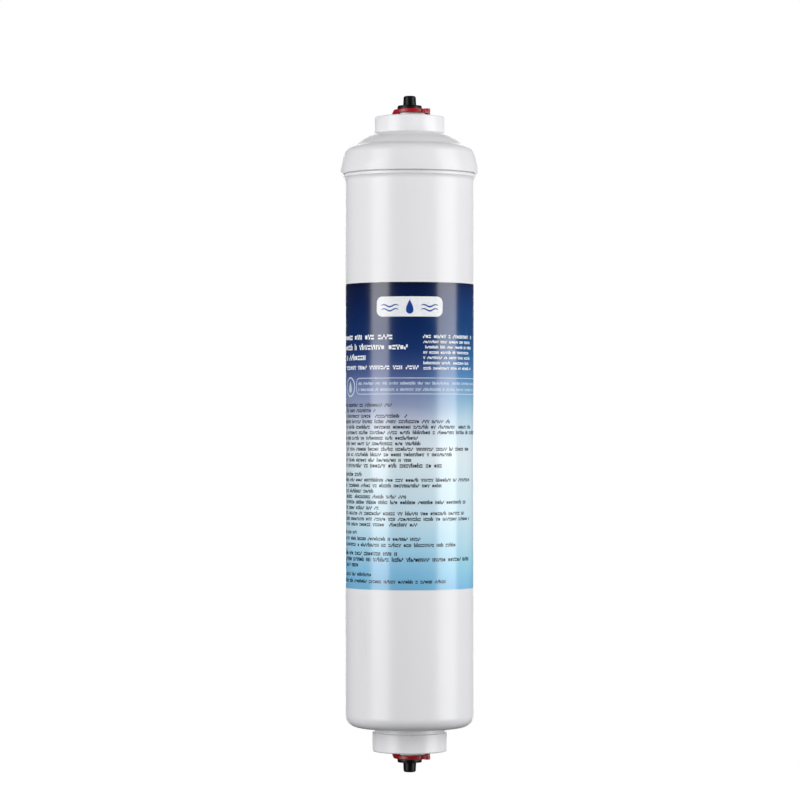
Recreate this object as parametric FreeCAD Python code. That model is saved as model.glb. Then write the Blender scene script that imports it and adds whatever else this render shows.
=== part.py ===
import FreeCAD, Part
import math
import os

from FreeCAD import Vector

# Inline water filter with push-in tube ports, in millimetres.
# The origin is on the filter's axis, half way between the two neck faces. +Z points to the inlet end,
# which carries the welded cap, and the locking clips open towards +X. The label's front faces -Y.

# Housing
FACE_TO_FACE = 250.8
BARREL_RADIUS = 25.5
BARREL_WALL = 2.6
BARREL_FLOOR = 3.0
BASE_ROUNDING = 5.0
INNER_BASE_ROUNDING = 3.0
EDGE_ROUNDING = 0.6

# Lower neck, moulded with the barrel
LOWER_NECK_RADIUS = 14.8
LOWER_NECK_HEIGHT = 9.6
RECESS_HEIGHT = 2.1
RECESS_DEPTH = 0.8

# End cap: neck, dome, shoulder and skirt, from the top down
CAP_WALL = 2.6
UPPER_NECK_RADIUS = 14.0
UPPER_NECK_HEIGHT = 6.5
DOME_DROP = 4.9
DOME_BOW = 0.8
DOME_LEDGE = 0.25
SHOULDER_INSET = 3.6
SHOULDER_DROP = 4.1
SHOULDER_BOW = 0.95
SHOULDER_OVERHANG = 0.7
SKIRT_HEIGHT = 7.2
SKIRT_BOW = 0.12
LIP_OVERHANG = 1.9
LIP_HEIGHT = 2.6
LIP_TAPER = 0.1

# Joint between the barrel and the cap
RIM_OVERHANG = 0.9
RIM_HEIGHT = 1.1
RIM_FLARE_HEIGHT = 2.1
RIM_FLARE_BOW = 0.25
LIP_GAP = 0.2
JOINT_HEIGHT = 5.5
JOINT_INSET = 0.6
JOINT_CLEARANCE = 0.1

# Label
LABEL_TOP = 59.3
LABEL_HEIGHT = 120.2
LABEL_THICKNESS = 0.08
LABEL_SEAM = 2.0

# Push-in tube port, measured inwards from the neck face
TUBE_RADIUS = 3.175
TUBE_CLEARANCE = 0.025
SOCKET_DEPTH = 15.2
WATERWAY_RADIUS = 2.2
POCKET_DEPTH = 10.2
SEAT_DEPTH = 4.6
PORT_END_WALL = 1.3
PORT_WALL = 2.7

# Collet, its flange standing outside the neck face
COLLET_BORE_CLEARANCE = 0.125
COLLET_WALL = 1.3
COLLET_FLANGE_OVERHANG = 0.3
COLLET_FLANGE = 0.7
COLLET_HEAD_RISE = 0.5
COLLET_CONE_START = 2.4
COLLET_CONE_END = 3.3
COLLET_TIP_DEPTH = 5.2
COLLET_SLOTS = 4
COLLET_SLOT_WIDTH = 0.7
COLLET_SLOT_START = 0.8
TOOTH_WIDTH = 1.3
TOOTH_THICKNESS = 0.25
TOOTH_DEPTH = 4.3
TOOTH_SLANT = 25.0

# Collet retainer, pressed into the port's mouth
RETAINER_CLEARANCE = 0.15
RETAINER_WALL = 1.15
RETAINER_BOSS_HEIGHT = 1.4
RETAINER_BOSS_OVERHANG = 0.3
RETAINER_CONE_START = 2.3
RETAINER_CONE_END = 3.4
RETAINER_CONE_RISE = 0.6
POCKET_STEP = 0.4
SEAT_CLEARANCE = 0.02

# Port seal: an O-ring on the pocket's floor under a spacer washer
RING_CLEARANCE = 0.1
SPACER_THICKNESS = 1.0

# Locking clip between the retainer's boss and the collet's flange
CLIP_THICKNESS = 1.4
CLIP_PLAY_BELOW = 0.05
CLIP_PLAY_ABOVE = 0.3
CLIP_CLEARANCE = 0.05
CLIP_WIDTH = 2.55
CLIP_CENTRE_SHIFT = 0.8
CLIP_LEG_REACH = 6.8
CLIP_NECK_WIDTH = 1.5
CLIP_TIP_RADIUS = 1.3
CLIP_SKIRT_HALF_ANGLE = 52.0
CLIP_SKIRT_THICKNESS = 0.7
CLIP_SKIRT_INSET = 1.0
CLIP_SKIRT_OUTREACH = 1.0
CLIP_SKIRT_GAP = 0.3
CLIP_SKIRT_CLEARANCE = 0.4
CLIP_DIMPLE_RADIUS = 0.5
CLIP_DIMPLE_DEPTH = 0.5

# Transport plug
PLUG_GAP = 0.02
PLUG_FLANGE_RADIUS = 4.8
PLUG_FLANGE = 0.6
KNOB_HEIGHT = 3.9
KNOB_BASE_RADIUS = 2.6
KNOB_TOP_RADIUS = 2.43
KNOB_ROUNDING = 0.75
PLUG_TIP_CLEARANCE = 0.3
PLUG_TIP_TAPER = 1.5
PLUG_TIP_DRAFT = 0.6

# Filter cartridge
CARTRIDGE_ANNULUS = 1.0
CARTRIDGE_RIM_WALL = 0.9
CARTRIDGE_RIM_HEIGHT = 8.0
CARTRIDGE_CAP_THICKNESS = 2.0
CARTRIDGE_FIT = 0.1
NETTING_THICKNESS = 0.6
NETTING_STRAND = 1.0
NETTING_PITCH = 8.0
NETTING_BARS = 24
WRAP_THICKNESS = 0.8
BLOCK_BORE_RADIUS = 6.0
CORE_CLEARANCE = 0.1
CORE_WALL = 1.0
CORE_SLOTS_AROUND = 6
CORE_SLOT_WIDTH = 1.6
CORE_SLOT_LENGTH = 8.0
CORE_SLOT_PITCH = 14.0
NIPPLE_LENGTH = 6.0
OUTLET_BORE_RADIUS = 3.0
INLET_GAP = 3.9
STANDOFFS = 4
STANDOFF_THICKNESS = 1.5
STANDOFF_CLEARANCE = 0.2
CENTRING_RIBS = 6
CENTRING_RIB_WIDTH = 2.0
CENTRING_CLEARANCE = 0.2

# Spigot under the cartridge, in the barrel's socket
SPIGOT_SOCKET_RADIUS = 6.6
SPIGOT_SOCKET_HEIGHT = 11.9
SPIGOT_LEAD_IN = 0.6
SPIGOT_CLEARANCE = 0.2
SPIGOT_TIP_GAP = 0.9
SPIGOT_GROOVE_RADIUS = 5.0
SPIGOT_GROOVE_WIDTH = 2.0
SPIGOT_GROOVE_PITCH = 4.0
SPIGOT_FIRST_GROOVE = 2.2
CARTRIDGE_SEAT_GAP = 0.5

# Small overlap by which a cutting shape passes the surface it opens
CUT_MARGIN = 0.5

# Worked out: heights of the housing
FACE = FACE_TO_FACE / 2
BASE = -FACE + LOWER_NECK_HEIGHT
FLOOR = BASE + BARREL_FLOOR
DOME_BASE = FACE - UPPER_NECK_HEIGHT
LEDGE = DOME_BASE - DOME_DROP
SHOULDER = LEDGE - SHOULDER_DROP
LIP = SHOULDER - SKIRT_HEIGHT
RIM = LIP - LIP_GAP
FLARE_TOP = RIM - RIM_HEIGHT
FLARE_BASE = FLARE_TOP - RIM_FLARE_HEIGHT
JOINT_TOP = RIM + JOINT_HEIGHT
PORT_END = SOCKET_DEPTH + PORT_END_WALL

# Worked out: radii of the housing and of the ports
BORE_RADIUS = BARREL_RADIUS - BARREL_WALL
JOINT_RADIUS = BARREL_RADIUS - JOINT_INSET
RECESS_RADIUS = LOWER_NECK_RADIUS - RECESS_DEPTH
LEDGE_RADIUS = BARREL_RADIUS - SHOULDER_INSET
LIP_RADIUS = BARREL_RADIUS + LIP_OVERHANG
SOCKET_RADIUS = TUBE_RADIUS + TUBE_CLEARANCE
COLLET_BORE = TUBE_RADIUS + COLLET_BORE_CLEARANCE
COLLET_RADIUS = COLLET_BORE + COLLET_WALL
COLLET_HEAD_RADIUS = COLLET_RADIUS + COLLET_HEAD_RISE
RETAINER_BORE = COLLET_RADIUS + RETAINER_CLEARANCE
SEAT_RADIUS = RETAINER_BORE + RETAINER_WALL
POCKET_RADIUS = SEAT_RADIUS - POCKET_STEP
PORT_RADIUS = SEAT_RADIUS + PORT_WALL
BOSS_RADIUS = SEAT_RADIUS + RETAINER_BOSS_OVERHANG

# Worked out: heights above a neck face of the clip, the flanges and the knob
CLIP_BASE = RETAINER_BOSS_HEIGHT + CLIP_PLAY_BELOW
CLIP_TOP = CLIP_BASE + CLIP_THICKNESS
COLLET_FLANGE_BASE = CLIP_TOP + CLIP_PLAY_ABOVE
COLLET_FLANGE_TOP = COLLET_FLANGE_BASE + COLLET_FLANGE
PLUG_FLANGE_BASE = COLLET_FLANGE_TOP + PLUG_GAP
PLUG_FLANGE_TOP = PLUG_FLANGE_BASE + PLUG_FLANGE
KNOB_TOP = PLUG_FLANGE_TOP + KNOB_HEIGHT

# Worked out: the cartridge
CAP_RIM_RADIUS = BORE_RADIUS - CARTRIDGE_ANNULUS
NETTING_RADIUS = CAP_RIM_RADIUS - CARTRIDGE_RIM_WALL - CARTRIDGE_FIT
WRAP_RADIUS = NETTING_RADIUS - NETTING_THICKNESS
BLOCK_RADIUS = WRAP_RADIUS - WRAP_THICKNESS
CORE_RADIUS = BLOCK_BORE_RADIUS - CORE_CLEARANCE
CORE_BORE = CORE_RADIUS - CORE_WALL
NIPPLE_RADIUS = CORE_BORE - CORE_CLEARANCE
SPIGOT_RADIUS = SPIGOT_SOCKET_RADIUS - SPIGOT_CLEARANCE
SPIGOT_FLOOR = -FACE + PORT_END
SPIGOT_SOCKET_TOP = SPIGOT_FLOOR + SPIGOT_SOCKET_HEIGHT
CARTRIDGE_BASE = SPIGOT_SOCKET_TOP + CARTRIDGE_SEAT_GAP
CARTRIDGE_TOP = FACE - PORT_END - INLET_GAP
BLOCK_BASE = CARTRIDGE_BASE + CARTRIDGE_CAP_THICKNESS
BLOCK_TOP = CARTRIDGE_TOP - CARTRIDGE_CAP_THICKNESS
BLOCK_LENGTH = BLOCK_TOP - BLOCK_BASE

ORIGIN = Vector(0, 0, 0)
UP = Vector(0, 0, 1)


# Drawing helpers

def corner(radius, height, rounding=0.0):
    """A corner of a section, with the radius of its rounding."""
    return Vector(radius, 0, height), rounding, 0.0


def bowed_to(radius, height, bow):
    """The end of a run that bows to the left of its way by bow, or to the right if it is negative."""
    return Vector(radius, 0, height), 0.0, bow


def unit(vector):
    return vector / vector.Length


def section(steps):
    """The closed outline through the steps, with tangent arcs at its rounded corners."""
    entries = []
    exits = []
    middles = []
    for index, (place, rounding, _) in enumerate(steps):
        back = unit(steps[index - 1][0] - place)
        ahead = unit(steps[(index + 1) % len(steps)][0] - place)
        half_angle = back.getAngle(ahead) / 2
        reach = rounding / math.tan(half_angle) if rounding else 0.0
        inward = unit(back + ahead) if rounding else ahead
        entries.append(place + back * reach)
        exits.append(place + ahead * reach)
        middles.append(place + inward * rounding * (1 / math.sin(half_angle) - 1))
    edges = []
    for index, (_, rounding, bow) in enumerate(steps):
        start = exits[index - 1]
        end = entries[index]
        run = end - start
        if bow:
            across = unit(Vector(-run.z, 0, run.x))
            edges.append(Part.Arc(start, (start + end) / 2 + across * bow, end).toShape())
        elif run.Length > 1e-6:
            edges.append(Part.LineSegment(start, end).toShape())
        if rounding:
            edges.append(Part.Arc(end, middles[index], exits[index]).toShape())
    return Part.Wire(edges)


def turned(*steps):
    """The solid that a section sweeps round the axis."""
    return Part.Face(section(steps)).revolve(ORIGIN, UP, 360)


def ring(inner, outer, base, top):
    return turned(corner(inner, base), corner(outer, base), corner(outer, top), corner(inner, top))


def o_ring(centre_radius, height, thickness_radius):
    return Part.makeTorus(centre_radius, thickness_radius, Vector(0, 0, height))


def around(shape, count, first_angle=0.0):
    """Copies of a shape at even angles round the axis."""
    copies = []
    for index in range(count):
        copy = shape.copy()
        copy.rotate(ORIGIN, UP, first_angle + 360.0 * index / count)
        copies.append(copy)
    return copies


def block(length, width, height, centre_x, base_z):
    """A box centred on the X axis in width, from base_z upwards."""
    return Part.makeBox(length, width, height, Vector(centre_x - length / 2, -width / 2, base_z))


def at_inlet(shape):
    """Moves a port piece, drawn with the neck face at height 0, to the upper neck."""
    placed = shape.copy()
    placed.translate(Vector(0, 0, FACE))
    return placed


def at_outlet(shape):
    """The same piece turned over at the lower neck. The clip still opens towards +X."""
    placed = at_inlet(shape)
    placed.rotate(ORIGIN, Vector(1, 0, 0), 180)
    return placed


def port_bore(side):
    """The port's inner outline from its inner end to its mouth; side is 1 at the inlet, -1 at the outlet."""
    depths = (
        (WATERWAY_RADIUS, PORT_END),
        (WATERWAY_RADIUS, SOCKET_DEPTH),
        (SOCKET_RADIUS, SOCKET_DEPTH),
        (SOCKET_RADIUS, POCKET_DEPTH),
        (POCKET_RADIUS, POCKET_DEPTH),
        (POCKET_RADIUS, SEAT_DEPTH),
        (SEAT_RADIUS, SEAT_DEPTH),
        (SEAT_RADIUS, 0.0),
    )
    return [corner(radius, side * (FACE - depth)) for radius, depth in depths]


# Housing

def make_barrel():
    """The pressure barrel with its floor, the lower neck and port, and the cartridge's spigot socket."""
    neck_bore = RECESS_RADIUS - BARREL_WALL
    return turned(
        corner(LOWER_NECK_RADIUS, -FACE, EDGE_ROUNDING),
        corner(LOWER_NECK_RADIUS, BASE - RECESS_HEIGHT, RECESS_DEPTH / 3),
        corner(RECESS_RADIUS, BASE - RECESS_HEIGHT),
        corner(RECESS_RADIUS, BASE),
        corner(BARREL_RADIUS, BASE, BASE_ROUNDING),
        corner(BARREL_RADIUS, FLARE_BASE),
        bowed_to(BARREL_RADIUS + RIM_OVERHANG, FLARE_TOP, RIM_FLARE_BOW),
        corner(BARREL_RADIUS + RIM_OVERHANG, RIM, RIM_HEIGHT / 4),
        corner(JOINT_RADIUS, RIM),
        corner(JOINT_RADIUS, JOINT_TOP),
        corner(BORE_RADIUS, JOINT_TOP),
        corner(BORE_RADIUS, FLOOR, INNER_BASE_ROUNDING),
        corner(neck_bore, FLOOR),
        corner(neck_bore, -FACE + CAP_WALL),
        corner(PORT_RADIUS, -FACE + CAP_WALL),
        corner(PORT_RADIUS, SPIGOT_SOCKET_TOP),
        corner(SPIGOT_SOCKET_RADIUS + SPIGOT_LEAD_IN, SPIGOT_SOCKET_TOP),
        corner(SPIGOT_SOCKET_RADIUS, SPIGOT_SOCKET_TOP - SPIGOT_LEAD_IN),
        corner(SPIGOT_SOCKET_RADIUS, SPIGOT_FLOOR),
        *port_bore(-1),
    )


def make_end_cap():
    """The domed cap: neck and port, dome, shoulder, and a skirt over the barrel's open end."""
    neck_bore = UPPER_NECK_RADIUS - CAP_WALL
    skirt_bore = JOINT_RADIUS + JOINT_CLEARANCE
    return turned(
        corner(UPPER_NECK_RADIUS, FACE, EDGE_ROUNDING),
        corner(UPPER_NECK_RADIUS, DOME_BASE),
        bowed_to(LEDGE_RADIUS, LEDGE, DOME_BOW),
        corner(LEDGE_RADIUS + DOME_LEDGE, LEDGE),
        bowed_to(BARREL_RADIUS + SHOULDER_OVERHANG, SHOULDER, SHOULDER_BOW),
        bowed_to(LIP_RADIUS - LIP_TAPER, LIP + LIP_HEIGHT, SKIRT_BOW),
        corner(LIP_RADIUS, LIP, EDGE_ROUNDING / 2),
        corner(skirt_bore, LIP),
        corner(skirt_bore, JOINT_TOP),
        corner(BORE_RADIUS, JOINT_TOP),
        corner(BORE_RADIUS, JOINT_TOP + EDGE_ROUNDING),
        bowed_to(LEDGE_RADIUS - CAP_WALL, LEDGE - CAP_WALL, -SHOULDER_BOW / 2),
        bowed_to(neck_bore, DOME_BASE - CAP_WALL, -DOME_BOW),
        corner(neck_bore, FACE - CAP_WALL),
        corner(PORT_RADIUS, FACE - CAP_WALL),
        corner(PORT_RADIUS, FACE - PORT_END),
        *port_bore(1),
    )


def make_label():
    """The film label, wrapped round the barrel with an open seam at the back."""
    film = ring(BARREL_RADIUS, BARREL_RADIUS + LABEL_THICKNESS, LABEL_TOP - LABEL_HEIGHT, LABEL_TOP)
    reach = BARREL_RADIUS + CUT_MARGIN
    seam_corner = Vector(-LABEL_SEAM / 2, 0, LABEL_TOP - LABEL_HEIGHT)
    seam = Part.makeBox(LABEL_SEAM, reach, LABEL_HEIGHT, seam_corner)
    return film.cut(seam)


# Push-in port pieces, drawn with the neck face at height 0

def make_retainer():
    """The pressed-in ring: a boss on the neck face, and a bore that opens into the collet's cone."""
    outer = SEAT_RADIUS - SEAT_CLEARANCE
    wide_bore = RETAINER_BORE + RETAINER_CONE_RISE
    return turned(
        corner(RETAINER_BORE, RETAINER_BOSS_HEIGHT),
        corner(RETAINER_BORE, -RETAINER_CONE_START),
        corner(wide_bore, -RETAINER_CONE_END),
        corner(wide_bore, -SEAT_DEPTH),
        corner(outer, -SEAT_DEPTH),
        corner(outer, 0.0),
        corner(BOSS_RADIUS, 0.0),
        corner(BOSS_RADIUS, RETAINER_BOSS_HEIGHT, EDGE_ROUNDING / 2),
    )


def make_teeth():
    """Pairs of slanted steel blades in the collet's fingers, their tips just clear of the tube."""
    root_radius = COLLET_HEAD_RADIUS - COLLET_HEAD_RISE / 2
    length = (root_radius - SOCKET_RADIUS) / math.cos(math.radians(TOOTH_SLANT))
    blade = Part.makeBox(length, TOOTH_WIDTH, TOOTH_THICKNESS, Vector(0, -TOOTH_WIDTH / 2, 0))
    blade.rotate(ORIGIN, Vector(0, 1, 0), TOOTH_SLANT)
    blade.translate(Vector(SOCKET_RADIUS, 0, -TOOTH_DEPTH))
    hollow = Part.makeCylinder(SOCKET_RADIUS, COLLET_TIP_DEPTH, Vector(0, 0, -COLLET_TIP_DEPTH))
    blades = around(blade, 2 * COLLET_SLOTS, 90.0 / COLLET_SLOTS)
    return Part.makeCompound([cut.cut(hollow).Solids[0] for cut in blades])


def make_collet(teeth):
    """The slotted gripping sleeve, with its release flange outside and its wedge head inside."""
    flange_radius = COLLET_RADIUS + COLLET_FLANGE_OVERHANG
    sleeve = turned(
        corner(COLLET_BORE, COLLET_FLANGE_TOP),
        corner(COLLET_BORE, -COLLET_TIP_DEPTH),
        corner(COLLET_HEAD_RADIUS, -COLLET_TIP_DEPTH, COLLET_HEAD_RISE / 2),
        corner(COLLET_HEAD_RADIUS, -COLLET_CONE_END),
        corner(COLLET_RADIUS, -COLLET_CONE_START),
        corner(COLLET_RADIUS, COLLET_FLANGE_BASE),
        corner(flange_radius, COLLET_FLANGE_BASE),
        corner(flange_radius, COLLET_FLANGE_TOP, COLLET_FLANGE / 4),
    )
    reach = COLLET_HEAD_RADIUS + CUT_MARGIN
    depth = COLLET_TIP_DEPTH - COLLET_SLOT_START + CUT_MARGIN
    slot = block(reach, COLLET_SLOT_WIDTH, depth, reach / 2, -COLLET_TIP_DEPTH - CUT_MARGIN)
    return sleeve.cut(Part.makeCompound(around(slot, COLLET_SLOTS))).cut(teeth)


def make_o_ring():
    """The seal on the pocket's floor, just clear of the tube."""
    thickness_radius = (POCKET_RADIUS - RING_CLEARANCE - SOCKET_RADIUS) / 2
    return o_ring(SOCKET_RADIUS + thickness_radius, -POCKET_DEPTH + thickness_radius, thickness_radius)


def make_spacer():
    """The washer over the O-ring, which keeps the collet's fingers off it."""
    base = -POCKET_DEPTH + POCKET_RADIUS - RING_CLEARANCE - SOCKET_RADIUS
    outer = POCKET_RADIUS - SEAT_CLEARANCE
    return ring(COLLET_BORE, outer, base, base + SPACER_THICKNESS)


def make_clip():
    """The C-shaped locking clip: a wide band, two legs with round tips, and a flared finger skirt."""
    inner = COLLET_RADIUS + CLIP_CLEARANCE
    outer = inner + CLIP_WIDTH
    centre = Vector(CLIP_CENTRE_SHIFT, 0, CLIP_BASE)
    body = Part.makeCylinder(outer, CLIP_THICKNESS, centre)
    for side in (-1, 1):
        leg_y = min(side * inner, side * (inner + CLIP_NECK_WIDTH))
        neck = Part.makeBox(CLIP_LEG_REACH, CLIP_NECK_WIDTH, CLIP_THICKNESS, Vector(0, leg_y, CLIP_BASE))
        tip_place = Vector(CLIP_LEG_REACH, side * (inner + CLIP_TIP_RADIUS), CLIP_BASE)
        tip = Part.makeCylinder(CLIP_TIP_RADIUS, CLIP_THICKNESS, tip_place)
        body = body.fuse(neck).fuse(tip)
    body = body.fuse(make_clip_skirt(outer - CLIP_CENTRE_SHIFT))
    cut_height = CLIP_TOP + CUT_MARGIN
    barrel_hole = Part.makeCylinder(inner, cut_height)
    way_out = Part.makeBox(outer + CLIP_LEG_REACH, 2 * inner, cut_height, Vector(0, -inner, 0))
    body = body.cut(barrel_hole).cut(way_out)
    for side in (-1, 1):
        dimple_y = side * (inner + CLIP_NECK_WIDTH / 2)
        dimple_place = Vector(CLIP_LEG_REACH - 2 * CLIP_TIP_RADIUS, dimple_y, CLIP_TOP)
        body = body.cut(Part.makeCylinder(CLIP_DIMPLE_RADIUS, CLIP_DIMPLE_DEPTH, dimple_place, -UP))
    return body.removeSplitter()


def make_clip_skirt(band_edge):
    """The lip on the clip's closed side, which leans out and down towards the neck face."""
    top_radius = band_edge - CLIP_SKIRT_INSET
    foot_radius = band_edge + CLIP_SKIRT_OUTREACH
    lip = Part.Face(section((
        corner(top_radius, CLIP_TOP),
        corner(top_radius, CLIP_BASE),
        corner(BOSS_RADIUS + CLIP_SKIRT_GAP, CLIP_BASE),
        corner(foot_radius - CLIP_SKIRT_THICKNESS, CLIP_SKIRT_CLEARANCE),
        corner(foot_radius, CLIP_SKIRT_CLEARANCE),
        corner(band_edge, CLIP_TOP),
    )))
    lip.rotate(ORIGIN, UP, 180 - CLIP_SKIRT_HALF_ANGLE)
    return lip.revolve(ORIGIN, UP, 2 * CLIP_SKIRT_HALF_ANGLE)


def make_plug():
    """The transport plug: a tapered stem through the collet and the seal, a flange, and a knob."""
    tip = -POCKET_DEPTH + PLUG_TIP_CLEARANCE
    return turned(
        corner(0.0, tip),
        corner(TUBE_RADIUS - PLUG_TIP_DRAFT, tip),
        corner(TUBE_RADIUS, tip + PLUG_TIP_TAPER),
        corner(TUBE_RADIUS, PLUG_FLANGE_BASE),
        corner(PLUG_FLANGE_RADIUS, PLUG_FLANGE_BASE),
        corner(PLUG_FLANGE_RADIUS, PLUG_FLANGE_TOP, PLUG_FLANGE / 3),
        corner(KNOB_BASE_RADIUS, PLUG_FLANGE_TOP),
        corner(KNOB_TOP_RADIUS, KNOB_TOP, KNOB_ROUNDING),
        corner(0.0, KNOB_TOP),
    )


# Filter cartridge

def make_netting():
    """The plastic net round the wrap: upright strands with hoops laid over them."""
    middle = (WRAP_RADIUS + NETTING_RADIUS) / 2
    overlap = NETTING_THICKNESS / 4
    bar_depth = middle + overlap - WRAP_RADIUS
    bar_centre = WRAP_RADIUS + bar_depth / 2
    bar = block(bar_depth, NETTING_STRAND, BLOCK_LENGTH, bar_centre, BLOCK_BASE)
    bars = around(bar, NETTING_BARS)
    gaps = round((BLOCK_LENGTH - NETTING_STRAND) / NETTING_PITCH)
    pitch = (BLOCK_LENGTH - NETTING_STRAND) / gaps
    hoops = []
    for index in range(gaps + 1):
        base = BLOCK_BASE + index * pitch
        hoops.append(ring(middle - overlap, NETTING_RADIUS, base, base + NETTING_STRAND))
    return hoops[0].multiFuse(hoops[1:] + bars)


def make_core_tube():
    """The tube in the block's bore, with rows of drain slots between its plain ends."""
    tube = ring(CORE_BORE, CORE_RADIUS, BLOCK_BASE, BLOCK_TOP)
    plain_end = NIPPLE_LENGTH + CORE_SLOT_PITCH - CORE_SLOT_LENGTH
    slotted = BLOCK_LENGTH - 2 * plain_end
    gaps = round((slotted - CORE_SLOT_LENGTH) / CORE_SLOT_PITCH)
    pitch = (slotted - CORE_SLOT_LENGTH) / gaps
    reach = CORE_RADIUS + CUT_MARGIN
    slots = []
    for index in range(gaps + 1):
        base = BLOCK_BASE + plain_end + index * pitch
        slot = block(reach, CORE_SLOT_WIDTH, CORE_SLOT_LENGTH, reach / 2, base)
        turn = 180.0 / CORE_SLOTS_AROUND if index % 2 else 0.0
        slots += around(slot, CORE_SLOTS_AROUND, turn)
    return tube.cut(Part.makeCompound(slots))


def centring_ribs(base):
    """Ribs on a cartridge cap's rim, which centre it in the barrel and leave the water a way past."""
    outer = BORE_RADIUS - CENTRING_CLEARANCE
    inner = CAP_RIM_RADIUS - CARTRIDGE_RIM_WALL / 2
    rib = block(outer - inner, CENTRING_RIB_WIDTH, CARTRIDGE_RIM_HEIGHT, (outer + inner) / 2, base)
    bounds = Part.makeCylinder(outer, CARTRIDGE_RIM_HEIGHT, Vector(0, 0, base))
    return [copy.common(bounds) for copy in around(rib, CENTRING_RIBS)]


def make_block_top_cap():
    """The closed cap: a rim round the block's end, a boss in the core tube, and stand-offs on top."""
    rim_bore = NETTING_RADIUS + CARTRIDGE_FIT
    rim_foot = BLOCK_TOP - CARTRIDGE_RIM_HEIGHT + CARTRIDGE_CAP_THICKNESS
    cap = turned(
        corner(0.0, CARTRIDGE_TOP),
        corner(0.0, BLOCK_TOP - NIPPLE_LENGTH),
        corner(NIPPLE_RADIUS, BLOCK_TOP - NIPPLE_LENGTH),
        corner(NIPPLE_RADIUS, BLOCK_TOP),
        corner(rim_bore, BLOCK_TOP),
        corner(rim_bore, rim_foot),
        corner(CAP_RIM_RADIUS, rim_foot),
        corner(CAP_RIM_RADIUS, CARTRIDGE_TOP, EDGE_ROUNDING),
    )
    height = INLET_GAP - STANDOFF_CLEARANCE
    fin_length = PORT_RADIUS - WATERWAY_RADIUS
    fin = block(fin_length, STANDOFF_THICKNESS, height, WATERWAY_RADIUS + fin_length / 2, CARTRIDGE_TOP)
    return cap.multiFuse(around(fin, STANDOFFS) + centring_ribs(rim_foot))


def make_block_bottom_cap():
    """The open cap: a rim, a nipple in the core tube, and a spigot with two seal grooves below."""
    rim_bore = NETTING_RADIUS + CARTRIDGE_FIT
    rim_top = BLOCK_BASE + CARTRIDGE_RIM_HEIGHT - CARTRIDGE_CAP_THICKNESS
    tip = SPIGOT_FLOOR + SPIGOT_TIP_GAP
    cap = turned(
        corner(OUTLET_BORE_RADIUS, tip),
        corner(SPIGOT_RADIUS, tip, EDGE_ROUNDING),
        corner(SPIGOT_RADIUS, CARTRIDGE_BASE),
        corner(CAP_RIM_RADIUS, CARTRIDGE_BASE, EDGE_ROUNDING),
        corner(CAP_RIM_RADIUS, rim_top),
        corner(rim_bore, rim_top),
        corner(rim_bore, BLOCK_BASE),
        corner(NIPPLE_RADIUS, BLOCK_BASE),
        corner(NIPPLE_RADIUS, BLOCK_BASE + NIPPLE_LENGTH),
        corner(OUTLET_BORE_RADIUS, BLOCK_BASE + NIPPLE_LENGTH),
    )
    for centre in spigot_groove_heights():
        base = centre - SPIGOT_GROOVE_WIDTH / 2
        outer = SPIGOT_RADIUS + CUT_MARGIN
        cap = cap.cut(ring(SPIGOT_GROOVE_RADIUS, outer, base, base + SPIGOT_GROOVE_WIDTH))
    return cap.multiFuse(centring_ribs(CARTRIDGE_BASE))


def spigot_groove_heights():
    first = SPIGOT_FLOOR + SPIGOT_TIP_GAP + SPIGOT_FIRST_GROOVE
    return [first, first + SPIGOT_GROOVE_PITCH]


def make_spigot_rings():
    """The two seals between the spigot's grooves and the socket."""
    thickness_radius = (SPIGOT_SOCKET_RADIUS - SPIGOT_GROOVE_RADIUS) / 2 - SEAT_CLEARANCE
    centre_radius = (SPIGOT_SOCKET_RADIUS + SPIGOT_GROOVE_RADIUS) / 2
    rings = [o_ring(centre_radius, height, thickness_radius) for height in spigot_groove_heights()]
    return Part.makeCompound(rings)


def port_pieces():
    """The pieces of one push-in port."""
    teeth = make_teeth()
    return {
        "collet_retainer": make_retainer(),
        "spacer_washer": make_spacer(),
        "o_ring": make_o_ring(),
        "collet": make_collet(teeth),
        "collet_teeth": teeth,
        "locking_clip": make_clip(),
        "plug": make_plug(),
    }


def all_pieces():
    pieces = {
        "barrel": make_barrel(),
        "end_cap": make_end_cap(),
        "label": make_label(),
        "carbon_block": ring(BLOCK_BORE_RADIUS, BLOCK_RADIUS, BLOCK_BASE, BLOCK_TOP),
        "prefilter_wrap": ring(BLOCK_RADIUS, WRAP_RADIUS, BLOCK_BASE, BLOCK_TOP),
        "outer_netting": make_netting(),
        "core_tube": make_core_tube(),
        "block_top_cap": make_block_top_cap(),
        "block_bottom_cap": make_block_bottom_cap(),
        "spigot_o_rings": make_spigot_rings(),
    }
    for name, shape in port_pieces().items():
        pieces["inlet_" + name] = at_inlet(shape)
        pieces["outlet_" + name] = at_outlet(shape)
    return pieces


os.makedirs("parts", exist_ok=True)
for name, shape in all_pieces().items():
    if not shape.isValid():
        raise ValueError(name + " is not a valid shape")
    shape.exportStep("parts/" + name + ".step")
    print(name, len(shape.Solids), "solids", round(shape.Volume, 2), "mm3")
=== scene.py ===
import bpy
import bmesh
import math
from mathutils import Matrix, Vector


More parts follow.
